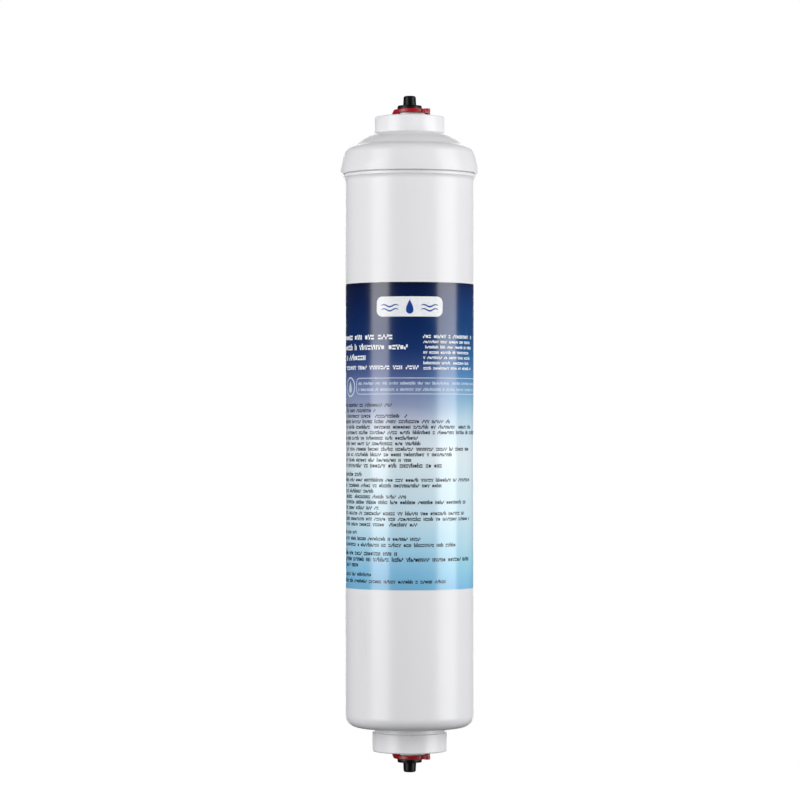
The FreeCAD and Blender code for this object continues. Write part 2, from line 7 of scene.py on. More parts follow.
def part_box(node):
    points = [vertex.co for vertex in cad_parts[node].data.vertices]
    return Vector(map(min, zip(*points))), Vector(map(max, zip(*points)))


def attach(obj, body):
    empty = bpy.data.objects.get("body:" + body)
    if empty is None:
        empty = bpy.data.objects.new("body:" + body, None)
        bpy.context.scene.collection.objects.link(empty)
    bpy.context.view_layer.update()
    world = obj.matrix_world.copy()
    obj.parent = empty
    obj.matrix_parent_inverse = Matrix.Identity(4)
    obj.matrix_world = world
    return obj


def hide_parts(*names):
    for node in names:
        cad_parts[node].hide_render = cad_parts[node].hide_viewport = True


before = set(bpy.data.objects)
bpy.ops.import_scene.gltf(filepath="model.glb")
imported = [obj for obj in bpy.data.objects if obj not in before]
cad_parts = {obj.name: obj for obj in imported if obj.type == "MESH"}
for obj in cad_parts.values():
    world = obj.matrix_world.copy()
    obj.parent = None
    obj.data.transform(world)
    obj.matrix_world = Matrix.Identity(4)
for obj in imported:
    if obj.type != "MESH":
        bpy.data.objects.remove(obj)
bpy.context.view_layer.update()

MM = 0.001

# Places and radii taken from the frame, in millimetres
CAP_LOW, CAP_HIGH = (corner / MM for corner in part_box("end_cap"))
BARREL_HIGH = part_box("barrel")[1] / MM
LABEL_LOW, LABEL_HIGH = (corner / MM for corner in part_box("label"))
BLOCK_LOW, BLOCK_HIGH = (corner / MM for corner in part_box("carbon_block"))
WRAP_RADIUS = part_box("prefilter_wrap")[1].x / MM
NETTING_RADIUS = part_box("outer_netting")[1].x / MM
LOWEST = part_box("outlet_plug")[0].z / MM
FACE = CAP_HIGH.z
LIP = CAP_LOW.z
LIP_RADIUS = CAP_HIGH.x
RIM_RADIUS = BARREL_HIGH.x
JOINT_TOP = BARREL_HIGH.z
BLOCK_RADIUS = BLOCK_HIGH.x
LABEL_RADIUS = LABEL_HIGH.x

# Housing
BARREL_RADIUS = 25.5
BARREL_BORE = 22.9
JOINT_RADIUS = 24.9
SKIRT_BORE = 25.0
WALL = 2.6
BASE = -FACE + 9.6
BASE_ROUNDING = 5.0
FLOOR = BASE + 3.0
INNER_BASE_ROUNDING = 3.0
LOWER_NECK_RADIUS = 14.8
RECESS_RADIUS = 14.0
RECESS_FOOT = BASE - 2.1
RECESS_EDGE_ROUNDING = 0.2
RECESS_ROOT_ROUNDING = 0.3
UPPER_NECK_RADIUS = 14.0
NECK_ROUNDING = 0.6
NECK_ROOT_ROUNDING = 0.25
DOME_BASE = FACE - 6.5
DOME_BOW = 0.8
LEDGE = DOME_BASE - 4.9
LEDGE_RADIUS = 21.9
LEDGE_WIDTH = 0.25
SHOULDER = LEDGE - 4.1
SHOULDER_RADIUS = 26.2
SHOULDER_BOW = 0.95
INNER_SHOULDER_BOW = 0.47
CAP_BORE_STEP = 0.6
LIP_TAPER = 0.1
LIP_HEIGHT = 2.6
LIP_ROUNDING = 0.3
SKIRT_BOW = 0.12
RIM = LIP - 0.2
RIM_ROUNDING = 0.27
JOINT_LINE_DEPTH = 0.45
JOINT_LINE_CLEARANCE = 0.02
FLARE_TOP = RIM - 1.1
FLARE_BASE = FLARE_TOP - 2.1
FLARE_BOW = 0.25
SPIGOT_FLOOR = -FACE + 16.5
SPIGOT_SOCKET_TOP = SPIGOT_FLOOR + 11.9
SPIGOT_SOCKET_RADIUS = 6.6
SPIGOT_LEAD_IN = 0.6
FILM_BACK = BARREL_RADIUS + 0.005

# Push-in ports. The steps of each piece are its corners: radius, height above the neck face, and rounding
PORT_RADIUS = 8.6
PORT_DEPTH = 16.5
PORT_STEPS = (
    (2.2, -PORT_DEPTH), (2.2, -15.2), (3.2, -15.2), (3.2, -10.2),
    (5.5, -10.2), (5.5, -4.6), (5.9, -4.6), (5.9, 0.0),
)
RETAINER_STEPS = (
    (4.75, 1.4, 0.12), (4.75, -2.3), (5.35, -3.4), (5.35, -4.6),
    (5.88, -4.6), (5.88, 0.0), (6.2, 0.0), (6.2, 1.4, 0.3),
)
SPACER_STEPS = ((3.3, -8.0, 0.1), (5.48, -8.0, 0.1), (5.48, -7.0, 0.1), (3.3, -7.0, 0.1))
COLLET_STEPS = (
    (3.3, 3.85, 0.15), (3.3, -5.2), (5.1, -5.2, 0.25), (5.1, -3.3),
    (4.6, -2.4), (4.6, 3.15), (4.9, 3.15), (4.9, 3.85, 0.17),
)
PLUG_STEPS = (
    (0.0, -9.9), (2.575, -9.9, 0.2), (3.175, -8.4), (3.175, 3.87),
    (4.8, 3.87, 0.12), (4.8, 4.47, 0.2), (2.6, 4.47, 0.2), (2.43, 8.37, 0.75), (0.0, 8.37),
)
PLUG_TRAVEL = 40.0
COLLET_FINGERS = 4
COLLET_SLOT_WIDTH = 0.7
COLLET_SLOT_REACH = (2.0, 5.6)
COLLET_SLOT_HEIGHTS = (-5.7, -0.8)

# Seals: radius to the middle of the ring, its height, and half its thickness
PORT_SEAL = (4.3, FACE - 9.1, 1.1)
SPIGOT_SEALS = ((5.8, SPIGOT_FLOOR + 3.1, 0.78), (5.8, SPIGOT_FLOOR + 7.1, 0.78))

# Cartridge
BLOCK_BORE = 6.0
BLOCK_ROUNDING = 0.3
WRAP_ROUNDING = 0.2
NET_STRANDS = 24
NET_PITCH = 8.0
NET_STRAND_WIDTH = 1.0
NET_STRAND_DEPTH_SHARE = 0.7

# Fineness of turned pieces
TURNED_SEGMENTS = 192
PORT_SEGMENTS = 96
SUPPORT_EDGE = 0.12
ARC_STEP = math.radians(9)
SHARP_ANGLE = math.radians(32)
MERGE_DISTANCE = 1e-8
ON_AXIS = 1e-6
CLIP_VOXEL = 0.1

# Label: its seam in degrees, the ink's thickness, and the places of its emblem, badge and frames
LABEL_SEAM_ANGLE = 4.5
INK = 0.02
THICK_INK = 1.7 * INK
INK_ROOT = 0.01
PRINT_MARGIN = -34.2
COLUMN_MARGIN = 5.7
PANEL_MARGIN = -22.8
BACK_MARGIN = 48.0
ARROW_MARGIN = -72.0
EMBLEM_HEIGHT = 49.5
EMBLEM_HALF_WIDTH = 13.4
EMBLEM_HALF_HEIGHT = 3.9
WAVE_STARTS = (-11.6, 4.2)
WAVE_LIFTS = (-1.25, 0.35)
WAVE_LENGTH = 7.4
WAVE_RISE = 0.42
WAVE_WIDTH = 0.62
DROP = (0.0, EMBLEM_HEIGHT - 0.5)
DROP_RADIUS = 2.1
BADGE = (-29.2, 18.4)
BADGE_RADIUS = 3.9
BADGE_BORE = 3.35
BADGE_DROP = (-29.2, 18.1)
BADGE_DROP_RADIUS = 1.75
PANEL = (-24.4, 36.0, 15.4, 21.9)
PANEL_ROUNDING = 2.0
PANEL_LINE = 0.3
ARROW = (-58.0, 30.0)
ARROW_LENGTH = 26.0
ARROW_WIDTH = 13.0
ARROW_FRAME = (-68.0, -48.0, 12.0, 48.0)
ARROW_FRAME_LINE = 0.5
FRAME_ROUNDING = 2.4


# Outlines of turned pieces, in radius and height

def corner(radius, height, rounding=0.0):
    """A corner of an outline, with the radius of its rounding."""
    return Vector((radius, height)), rounding, 0.0


def bowed_to(radius, height, bow):
    """The end of a run that bows to the left of its way by bow."""
    return Vector((radius, height)), 0.0, bow


def arc_between(start, end, rise):
    """Points inside the arc from start to end that stands rise to the left of the straight way."""
    run = end - start
    left = Vector((-run.y, run.x)).normalized()
    radius = (run.length ** 2 / 4 + rise ** 2) / (2 * abs(rise))
    half_angle = math.asin(min(1.0, run.length / 2 / radius))
    centre = (start + end) / 2 + left * (rise - math.copysign(radius, rise))
    pieces = max(3, math.ceil(2 * half_angle / ARC_STEP))
    turn = -math.copysign(2 * half_angle, rise)
    turns = (Matrix.Rotation(turn * index / pieces, 2) for index in range(1, pieces))
    return [centre + spin @ (start - centre) for spin in turns]


def outline_of(steps):
    """The closed outline through the steps, with support points beside the corners of its long runs."""
    entries = []
    exits = []
    for index, (place, rounding, _) in enumerate(steps):
        back = (steps[index - 1][0] - place).normalized()
        ahead = (steps[(index + 1) % len(steps)][0] - place).normalized()
        reach = rounding / math.tan(back.angle(ahead) / 2) if rounding else 0.0
        entries.append(place + back * reach)
        exits.append(place + ahead * reach)
    points = []
    for index, (place, rounding, bow) in enumerate(steps):
        start = exits[index - 1]
        end = entries[index]
        run = end - start
        if bow:
            points += arc_between(start, end, bow)
        elif run.length > 4 * SUPPORT_EDGE:
            points.append(start + run.normalized() * SUPPORT_EDGE)
            points.append(end - run.normalized() * SUPPORT_EDGE)
        points.append(end)
        if rounding:
            chord = exits[index] - end
            toward = place - (end + exits[index]) / 2
            half = (end - place).angle(exits[index] - place) / 2
            rise = rounding * (1 - math.sin(half))
            side = toward.dot(Vector((-chord.y, chord.x)))
            points += arc_between(end, exits[index], math.copysign(rise, side))
            points.append(exits[index])
    return points


# Mesh helpers

def placed(name, data):
    """A new object in the scene with the mesh, light or camera."""
    obj = bpy.data.objects.new(name, data)
    bpy.context.scene.collection.objects.link(obj)
    return obj


def solid_object(name, made):
    """A new object in the scene with the bmesh."""
    mesh = bpy.data.meshes.new(name)
    made.to_mesh(mesh)
    made.free()
    return placed(name, mesh)


def mesh_object(name, vertices, faces):
    """An object from vertices in millimetres, its doubles merged and its faces pointing outwards."""
    mesh = bpy.data.meshes.new(name)
    mesh.from_pydata([Vector(vertex) * MM for vertex in vertices], [], faces)
    made = bmesh.new()
    made.from_mesh(mesh)
    bpy.data.meshes.remove(mesh)
    bmesh.ops.remove_doubles(made, verts=made.verts, dist=MERGE_DISTANCE)
    bmesh.ops.recalc_face_normals(made, faces=made.faces)
    return solid_object(name, made)


def smooth(obj):
    """Shades an object smooth, apart from its sharp edges."""
    obj.data.shade_smooth()
    obj.data.set_sharp_from_angle(angle=SHARP_ANGLE)
    return obj


def turned(name, *steps, segments=TURNED_SEGMENTS, first=0.0, sweep=360.0):
    """The solid that an outline sweeps round the axis, from the first angle through the sweep."""
    points = outline_of(steps)
    count = len(points)
    whole = sweep >= 360.0
    rings = segments if whole else segments + 1
    vertices = []
    for turn in range(rings):
        angle = math.radians(first + sweep * turn / segments)
        vertices += [(point.x * math.cos(angle), point.x * math.sin(angle), point.y) for point in points]
    faces = []
    for turn in range(segments):
        here = turn * count
        after = (turn + 1) % rings * count
        for index in range(count):
            following = (index + 1) % count
            face = [here + index, after + index, after + following, here + following]
            if points[index].x < ON_AXIS and points[following].x < ON_AXIS:
                continue
            if points[index].x < ON_AXIS:
                face.remove(after + index)
            if points[following].x < ON_AXIS:
                face.remove(after + following)
            faces.append(face)
    if not whole:
        faces.append(list(range(count)))
        faces.append([(rings - 1) * count + index for index in range(count)])
    return smooth(mesh_object(name, vertices, faces))


def joined(name, *objects):
    """One object from several."""
    made = bmesh.new()
    for obj in objects:
        made.from_mesh(obj.data)
        bpy.data.objects.remove(obj)
    return solid_object(name, made)


def settled(obj):
    """Applies the object's modifiers, so that it has a plain mesh of its own."""
    bpy.context.view_layer.update()
    evaluated = obj.evaluated_get(bpy.context.evaluated_depsgraph_get())
    result = bpy.data.meshes.new_from_object(evaluated)
    obj.modifiers.clear()
    obj.data = result
    return obj


def coated(obj, material):
    """Gives an object one material in place of those it has."""
    obj.data.materials.clear()
    obj.data.materials.append(material)


def finished(obj, body, finish, material, *nodes):
    """Gives a piece its material and body, and hides the CAD nodes that it stands for; its finish is not
    used.
    """
    coated(obj, material)
    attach(obj, body)
    if nodes:
        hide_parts(*nodes)


def at_both_ports(piece, kind, body, finish, material, node):
    """Finishes an inlet piece, and a copy of it turned over at the outlet."""
    lower = placed("outlet_" + kind, piece.data.copy())
    lower.data.transform(Matrix.Rotation(math.pi, 4, "X"))
    piece.name = "inlet_" + kind
    for side, made in (("inlet_", piece), ("outlet_", lower)):
        owner = body if body == "housing" else side + body
        finished(made, owner, finish, material, side + node)


# Node helpers

def find(sockets, key=None):
    """A socket by its number or its name. Without either it is the first one in use."""
    if isinstance(key, int):
        return sockets[key]
    return next(socket for socket in sockets if socket.enabled and key in (None, socket.name))


def add(tree, kind, inputs=None, **settings):
    """Adds a node. Its inputs are plain values, nodes whose first output is taken, or sockets."""
    made = tree.nodes.new(kind)
    for name, value in settings.items():
        setattr(made, name, value)
    for key, value in (inputs or {}).items():
        wire(tree, value, find(made.inputs, key))
    return made


def wire(tree, value, socket):
    """Sets a socket to a plain value, or links it to a socket or a node's first output."""
    if isinstance(value, bpy.types.Node):
        value = find(value.outputs)
    if isinstance(value, bpy.types.NodeSocket):
        tree.links.new(value, socket)
    else:
        socket.default_value = value


def calc(tree, operation, *values, clamp=False):
    """A sum of its values. With clamp it's held between 0 and 1."""
    return add(tree, "ShaderNodeMath", dict(enumerate(values)), operation=operation, use_clamp=clamp)


def spread(tree, value, low, high, to_low=0.0, to_high=1.0):
    """A value eased from the range low..high to the range to_low..to_high, and held inside it."""
    return add(tree, "ShaderNodeMapRange", {
        "Value": value, "From Min": low, "From Max": high, "To Min": to_low, "To Max": to_high,
    }, interpolation_type="SMOOTHSTEP")


def blend(tree, share, first, second):
    """The first colour at a share of 0 and the second at 1."""
    return add(tree, "ShaderNodeMix", {"Factor": share, "A": first, "B": second}, data_type="RGBA")


def colour(red, green, blue):
    """The linear colour for a display colour with parts of 0 to 255."""
    shares = (part / 255 for part in (red, green, blue))
    linear = (
        share / 12.92 if share <= 0.04045 else ((share + 0.055) / 1.055) ** 2.4 for share in shares)
    return (*linear, 1.0)


def new_group(name, kind, inputs, outputs):
    """An empty node group with named inputs, whose defaults are given, and named outputs."""
    group = bpy.data.node_groups.new(name, kind)
    for label, (socket_type, default) in inputs.items():
        socket = group.interface.new_socket(name=label, in_out="INPUT", socket_type=socket_type)
        if default is not None:
            socket.default_value = default
    for label, socket_type in outputs.items():
        group.interface.new_socket(name=label, in_out="OUTPUT", socket_type=socket_type)
    given = group.nodes.new("NodeGroupInput").outputs
    return group, given, group.nodes.new("NodeGroupOutput").inputs


def object_place(tree):
    """The place on the piece, in the object's own coordinates."""
    return add(tree, "ShaderNodeTexCoord").outputs["Object"]


NUMBER = "NodeSocketFloat"
INTEGER = "NodeSocketInt"
GEOMETRY = "NodeSocketGeometry"
MATERIAL = "NodeSocketMaterial"


def numbers(**defaults):
    """Number inputs of a node group, named after the arguments."""
    return {title(name): (NUMBER, default) for name, default in defaults.items()}


def title(name):
    """The socket's name for an argument's name."""
    return name.replace("_", " ").title()


def vector(tree, **parts):
    """A vector from its X, Y and Z. Those left out are 0."""
    return add(tree, "ShaderNodeCombineXYZ", parts)


def joined_parts(tree, parts):
    """The geometry of several nodes, joined."""
    join = tree.nodes.new("GeometryNodeJoinGeometry")
    for part in parts:
        tree.links.new(find(part.outputs), join.inputs[0])
    return join


def noise(tree, place, scale, detail=2.0, roughness=0.5):
    """Cloudy values from 0 to 1."""
    return add(tree, "ShaderNodeTexNoise", {
        "Vector": place, "Scale": scale, "Detail": detail, "Roughness": roughness})


def stretched(tree, place, scale, turn=(0.0, 0.0, 0.0)):
    """Coordinates turned and then scaled along each axis, so that a texture is drawn out."""
    return add(tree, "ShaderNodeMapping", {"Vector": place, "Rotation": turn, "Scale": scale})


def bump(tree, height, strength, distance):
    """The normal of a relief with the height."""
    return add(tree, "ShaderNodeBump", {"Height": height, "Strength": strength, "Distance": distance})


def moulded_skin_group():
    """The slight waviness and fine grain that a mould leaves."""
    group, given, out = new_group(
        "moulded_skin", "ShaderNodeTree",
        numbers(wave_scale=60.0, grain_scale=2500.0, grain=0.15, strength=0.1),
        {"Normal": "NodeSocketVector", "Unevenness": NUMBER})
    where = object_place(group)
    wave = noise(group, where, given["Wave Scale"])
    grain = noise(group, where, given["Grain Scale"], 3.0)
    height = calc(group, "MULTIPLY_ADD", grain, given["Grain"], wave)
    wire(group, bump(group, height, given["Strength"], 0.0004), out["Normal"])
    wire(group, calc(group, "SUBTRACT", wave, 0.5), out["Unevenness"])
    return group


def handling_group():
    """Masks for sparse fine scratches, dull smudges and settled dust."""
    group, given, out = new_group(
        "handling", "ShaderNodeTree", numbers(scratch_scale=140.0, smudge_scale=28.0),
        {"Scratches": NUMBER, "Smudges": NUMBER, "Dust": NUMBER})
    where = object_place(group)
    drawn = stretched(group, where, (1.0, 1.0, 0.05), (0.35, 0.2, 0.5))
    strands = noise(group, drawn, given["Scratch Scale"], 5.0, 0.75)
    clouds = noise(group, where, given["Smudge Scale"], 3.0, 0.55)
    specks = noise(group, where, 3800.0, 1.0)
    wire(group, spread(group, strands, 0.65, 0.72), out["Scratches"])
    wire(group, spread(group, clouds, 0.3, 0.8), out["Smudges"])
    wire(group, spread(group, specks, 0.7, 0.78), out["Dust"])
    return group


MOULDED_SKIN = moulded_skin_group()
HANDLING = handling_group()


def placed_group(tree, group, **inputs):
    """Adds a node group and sets its inputs, named after the arguments."""
    made = tree.nodes.new("ShaderNodeGroup")
    made.node_tree = group
    for name, value in inputs.items():
        made.inputs[title(name)].default_value = value
    return made


def new_material(name, base, specular=0.5):
    """A material, its tree and its Principled shader's inputs, with the evenly set values on the shader."""
    material = bpy.data.materials.new(name)
    material.use_nodes = True
    material.diffuse_color = base
    inputs = material.node_tree.nodes["Principled BSDF"].inputs
    inputs["Specular IOR Level"].default_value = specular
    return material, material.node_tree, inputs


def wire_surface(tree, surface, shade, roughness, normal):
    """Wires the Principled shader's varying colour, roughness and normal."""
    wire(tree, shade, surface["Base Color"])
    wire(tree, roughness, surface["Roughness"])
    wire(tree, normal, surface["Normal"])


def moulded_plastic(name, base, worn, roughness, wave=60.0, grain=0.15, relief=0.1, specular=0.5):
    """A moulded plastic whose colour drifts slightly, with scratches and smudges in its gloss."""
    material, tree, surface = new_material(name, base, specular)
    skin = placed_group(tree, MOULDED_SKIN, wave_scale=wave, grain=grain, strength=relief)
    marks = placed_group(tree, HANDLING)
    drifted = calc(tree, "MULTIPLY", noise(tree, object_place(tree), 16.0), 0.3)
    scratched = calc(tree, "MULTIPLY_ADD", marks.outputs["Scratches"], 0.35, drifted)
    tint = calc(tree, "MULTIPLY_ADD", marks.outputs["Dust"], 0.3, scratched, clamp=True)
    dulled = calc(tree, "MULTIPLY_ADD", marks.outputs["Smudges"], 0.06, roughness)
    gloss = calc(tree, "MULTIPLY_ADD", skin.outputs["Unevenness"], 0.06, dulled, clamp=True)
    wire_surface(tree, surface, blend(tree, tint, base, worn), gloss, skin.outputs["Normal"])
    return material


# Print colours from the label's top edge down to its foot: height in millimetres and shade
FRONT_SHADES = (
    (59.3, (3, 10, 38)), (57.0, (4, 22, 62)), (48.0, (6, 32, 82)), (40.0, (10, 42, 94)),
    (33.0, (22, 50, 106)), (28.0, (44, 68, 122)), (22.5, (78, 96, 146)), (16.0, (124, 140, 178)),
    (11.0, (146, 158, 190)), (6.0, (186, 196, 216)), (1.0, (210, 222, 234)), (-9.0, (226, 240, 246)),
    (-21.0, (208, 230, 240)), (-34.0, (202, 229, 242)), (-44.0, (168, 214, 236)),
    (-53.0, (134, 193, 228)), (-60.9, (116, 178, 214)),
)
SIDE_SHADES = (
    (59.3, (8, 24, 58)), (57.0, (18, 44, 92)), (48.0, (22, 62, 118)), (40.0, (26, 72, 126)),
    (33.0, (44, 98, 152)), (28.0, (62, 116, 168)), (22.5, (88, 142, 192)), (13.5, (144, 190, 220)),
    (7.0, (190, 220, 236)), (1.0, (212, 234, 246)), (-9.0, (226, 240, 246)), (-21.0, (216, 238, 246)),
    (-34.0, (204, 233, 245)), (-44.0, (186, 226, 241)), (-53.0, (156, 216, 238)), (-60.9, (134, 196, 236)),
)
LABEL_MARGIN = 0.3
LABEL_MARGIN_EDGE = 0.25


def colour_ramp(tree, share, shades):
    """The shades up the label, from a share of its height."""
    ramp = add(tree, "ShaderNodeValToRGB", {"Fac": share})
    stops = ramp.color_ramp.elements
    stops.remove(stops[1])
    for index, (height, shade) in enumerate(reversed(shades)):
        place = (height - LABEL_LOW.z) / (LABEL_HIGH.z - LABEL_LOW.z)
        stop = stops.new(min(1.0, max(0.0, place))) if index else stops[0]
        stop.color = colour(*shade)
    return ramp


def label_film():
    """The printed film: deep blue at the top, near white in the middle and light blue at the foot."""
    material, tree, surface = new_material("label_film", colour(60, 100, 160), 0.62)
    where = object_place(tree)
    split = add(tree, "ShaderNodeSeparateXYZ", {"Vector": where})
    height = split.outputs["Z"]
    low = LABEL_LOW.z * MM
    high = LABEL_HIGH.z * MM
    cloud = calc(tree, "SUBTRACT", noise(tree, where, 30.0, 3.0), 0.5)
    swirl = calc(tree, "MULTIPLY_ADD", cloud, 0.005, height)
    share = calc(tree, "DIVIDE", calc(tree, "SUBTRACT", swirl, low), high - low, clamp=True)
    sideways = spread(tree, split.outputs["X"], 0.002, 0.0235)
    shade = blend(
        tree, sideways, colour_ramp(tree, share, FRONT_SHADES), colour_ramp(tree, share, SIDE_SHADES))
    top_margin = spread(tree, height, high - LABEL_MARGIN * MM, high - LABEL_MARGIN_EDGE * MM)
    foot_margin = spread(tree, height, low + LABEL_MARGIN * MM, low + LABEL_MARGIN_EDGE * MM)
    margin = calc(tree, "MAXIMUM", top_margin, foot_margin)
    bare = blend(tree, margin, shade, colour(228, 232, 238))
    marks = placed_group(tree, HANDLING, scratch_scale=170.0)
    scuffed = calc(tree, "MULTIPLY", marks.outputs["Scratches"], 0.12)
    worn = blend(tree, scuffed, bare, colour(215, 222, 232))
    cloudy_gloss = spread(tree, noise(tree, where, 90.0, 3.0), 0.3, 0.7, 0.17, 0.21)
    gloss = calc(tree, "MULTIPLY_ADD", marks.outputs["Smudges"], 0.04, cloudy_gloss)
    wire_surface(tree, surface, worn, gloss, bump(tree, noise(tree, where, 55.0), 0.03, 0.0004))
    return material


def printing_ink(name, shade, worn):
    """Printing ink, its coverage slightly uneven."""
    material, tree, surface = new_material(name, shade)
    coverage = noise(tree, object_place(tree), 900.0, 3.0)
    marks = placed_group(tree, HANDLING, scratch_scale=170.0)
    patchy = spread(tree, coverage, 0.35, 0.75, 0.0, 0.3)
    faded = calc(tree, "MULTIPLY_ADD", marks.outputs["Scratches"], 0.25, patchy, clamp=True)
    gloss = calc(tree, "MULTIPLY_ADD", coverage, 0.1, 0.25)
    wire_surface(tree, surface, blend(tree, faded, shade, worn), gloss, bump(tree, coverage, 0.05, 0.0001))
    return material


def seal_rubber():
    """Black rubber with a dull, slightly greasy bloom."""
    material, tree, surface = new_material("seal_rubber", colour(28, 28, 30), 0.4)
    bloom = noise(tree, object_place(tree), 220.0, 4.0)
    shade = blend(tree, spread(tree, bloom, 0.35, 0.7), colour(24, 24, 26), colour(52, 52, 54))
    gloss = spread(tree, bloom, 0.3, 0.7, 0.42, 0.62)
    wire_surface(tree, surface, shade, gloss, bump(tree, bloom, 0.15, 0.0001))
    return material


def tooth_steel():
    """Stamped stainless steel, with drawn marks along the strip."""
    material, tree, surface = new_material("tooth_steel", colour(196, 196, 198))
    surface["Metallic"].default_value = 1.0
    drawn = stretched(tree, object_place(tree), (1.0, 1.0, 14.0))
    marks = noise(tree, drawn, 700.0, 4.0)
    shade = blend(tree, marks, colour(176, 176, 180), colour(214, 214, 214))
    gloss = spread(tree, marks, 0.3, 0.7, 0.24, 0.42)
    wire_surface(tree, surface, shade, gloss, bump(tree, marks, 0.1, 0.00005))
    return material


def pressed_carbon():
    """Sintered activated carbon: black grains with glints in a porous face, its pores darkened with painted
    shade.
    """
    material, tree, surface = new_material("pressed_carbon", colour(26, 26, 27), 0.35)
    where = object_place(tree)
    grains = add(tree, "ShaderNodeTexVoronoi", {"Vector": where, "Scale": 1500.0}).outputs["Distance"]
    pores = noise(tree, where, 500.0, 6.0)
    height = calc(tree, "MULTIPLY_ADD", pores, 0.8, grains)
    # Painted shade: the colour is darker in the pores, where the relief is low.
    shade = blend(tree, pores, colour(14, 14, 15), colour(50, 49, 48))
    gloss = spread(tree, grains, 0.0, 0.7, 0.55, 0.9)
    wire_surface(tree, surface, shade, gloss, bump(tree, height, 0.7, 0.0003))
    return material


def nonwoven_fibre():
    """White spunbond fibre, lightly greyed by the carbon under it."""
    material, tree, surface = new_material("nonwoven_fibre", colour(226, 226, 224), 0.25)
    where = object_place(tree)
    lengthwise = stretched(tree, where, (1.0, 1.0, 0.12), (0.0, 0.6, 0.3))
    crosswise = stretched(tree, where, (0.15, 1.0, 1.0), (0.7, 0.0, 1.1))
    fibres = calc(tree, "MAXIMUM", noise(tree, lengthwise, 1400.0, 3.0), noise(tree, crosswise, 1400.0, 3.0))
    shade = blend(tree, fibres, colour(176, 177, 178), colour(238, 238, 235))
    gloss = spread(tree, fibres, 0.3, 0.8, 0.95, 0.75)
    wire_surface(tree, surface, shade, gloss, bump(tree, fibres, 0.5, 0.0003))
    return material


WHITE_PLASTIC = moulded_plastic(
    "white_polypropylene", colour(236, 236, 238), colour(222, 221, 226), 0.3,
    wave=34.0, grain=0.05, relief=0.055)
RETAINER_PLASTIC = moulded_plastic("retainer_white", colour(232, 232, 230), colour(214, 214, 214), 0.3)
CLIP_PLASTIC = moulded_plastic("clip_red", colour(176, 18, 34), colour(136, 14, 30), 0.3, relief=0.08)
PLUG_PLASTIC = moulded_plastic(
    "plug_black", colour(7, 7, 9), colour(26, 26, 30), 0.3, wave=300.0, specular=0.18)
COLLET_PLASTIC = moulded_plastic(
    "collet_black", colour(18, 18, 20), colour(42, 42, 46), 0.36, wave=300.0, specular=0.35)
NET_PLASTIC = moulded_plastic("net_plastic", colour(222, 226, 228), colour(196, 200, 204), 0.4)
CAP_PLASTIC = moulded_plastic("natural_polypropylene", colour(224, 222, 214), colour(200, 197, 188), 0.38)
RUBBER = seal_rubber()
STEEL = tooth_steel()
WHITE_INK = printing_ink("white_ink", colour(244, 246, 248), colour(206, 214, 226))
NAVY_INK = printing_ink("navy_ink", colour(2, 8, 28), colour(22, 38, 72))
PALE_INK = printing_ink("pale_ink", colour(204, 217, 236), colour(160, 178, 210))
BLUE_INK = printing_ink("blue_ink", colour(16, 62, 142), colour(52, 98, 170))


# Housing

def port_bore(side):
    """The port's inner steps; side is 1 at the inlet and -1 at the outlet."""
    return [corner(radius, side * (FACE + height)) for radius, height in PORT_STEPS]


housing_barrel = turned(
    "housing_barrel",
    corner(LOWER_NECK_RADIUS, -FACE, NECK_ROUNDING),
    corner(LOWER_NECK_RADIUS, RECESS_FOOT, RIM_ROUNDING),
    corner(RECESS_RADIUS, RECESS_FOOT, RECESS_EDGE_ROUNDING),
    corner(RECESS_RADIUS, BASE, RECESS_ROOT_ROUNDING),
    corner(BARREL_RADIUS, BASE, BASE_ROUNDING),
    corner(BARREL_RADIUS, FLARE_BASE),
    bowed_to(RIM_RADIUS, FLARE_TOP, FLARE_BOW),
    corner(RIM_RADIUS, RIM, RIM_ROUNDING),
    corner(RIM_RADIUS - JOINT_LINE_DEPTH, RIM),
    corner(RIM_RADIUS - JOINT_LINE_DEPTH, LIP - JOINT_LINE_CLEARANCE),
    corner(JOINT_RADIUS, LIP - JOINT_LINE_CLEARANCE),
    corner(JOINT_RADIUS, JOINT_TOP),
    corner(BARREL_BORE, JOINT_TOP),
    corner(BARREL_BORE, FLOOR, INNER_BASE_ROUNDING),
    corner(RECESS_RADIUS - WALL, FLOOR),
    corner(RECESS_RADIUS - WALL, -FACE + WALL),
    corner(PORT_RADIUS, -FACE + WALL),
    corner(PORT_RADIUS, SPIGOT_SOCKET_TOP),
    corner(SPIGOT_SOCKET_RADIUS + SPIGOT_LEAD_IN, SPIGOT_SOCKET_TOP),
    corner(SPIGOT_SOCKET_RADIUS, SPIGOT_SOCKET_TOP - SPIGOT_LEAD_IN),
    corner(SPIGOT_SOCKET_RADIUS, SPIGOT_FLOOR),
    *port_bore(-1),
)
finished(housing_barrel, "housing", "white_polypropylene", WHITE_PLASTIC, "barrel")

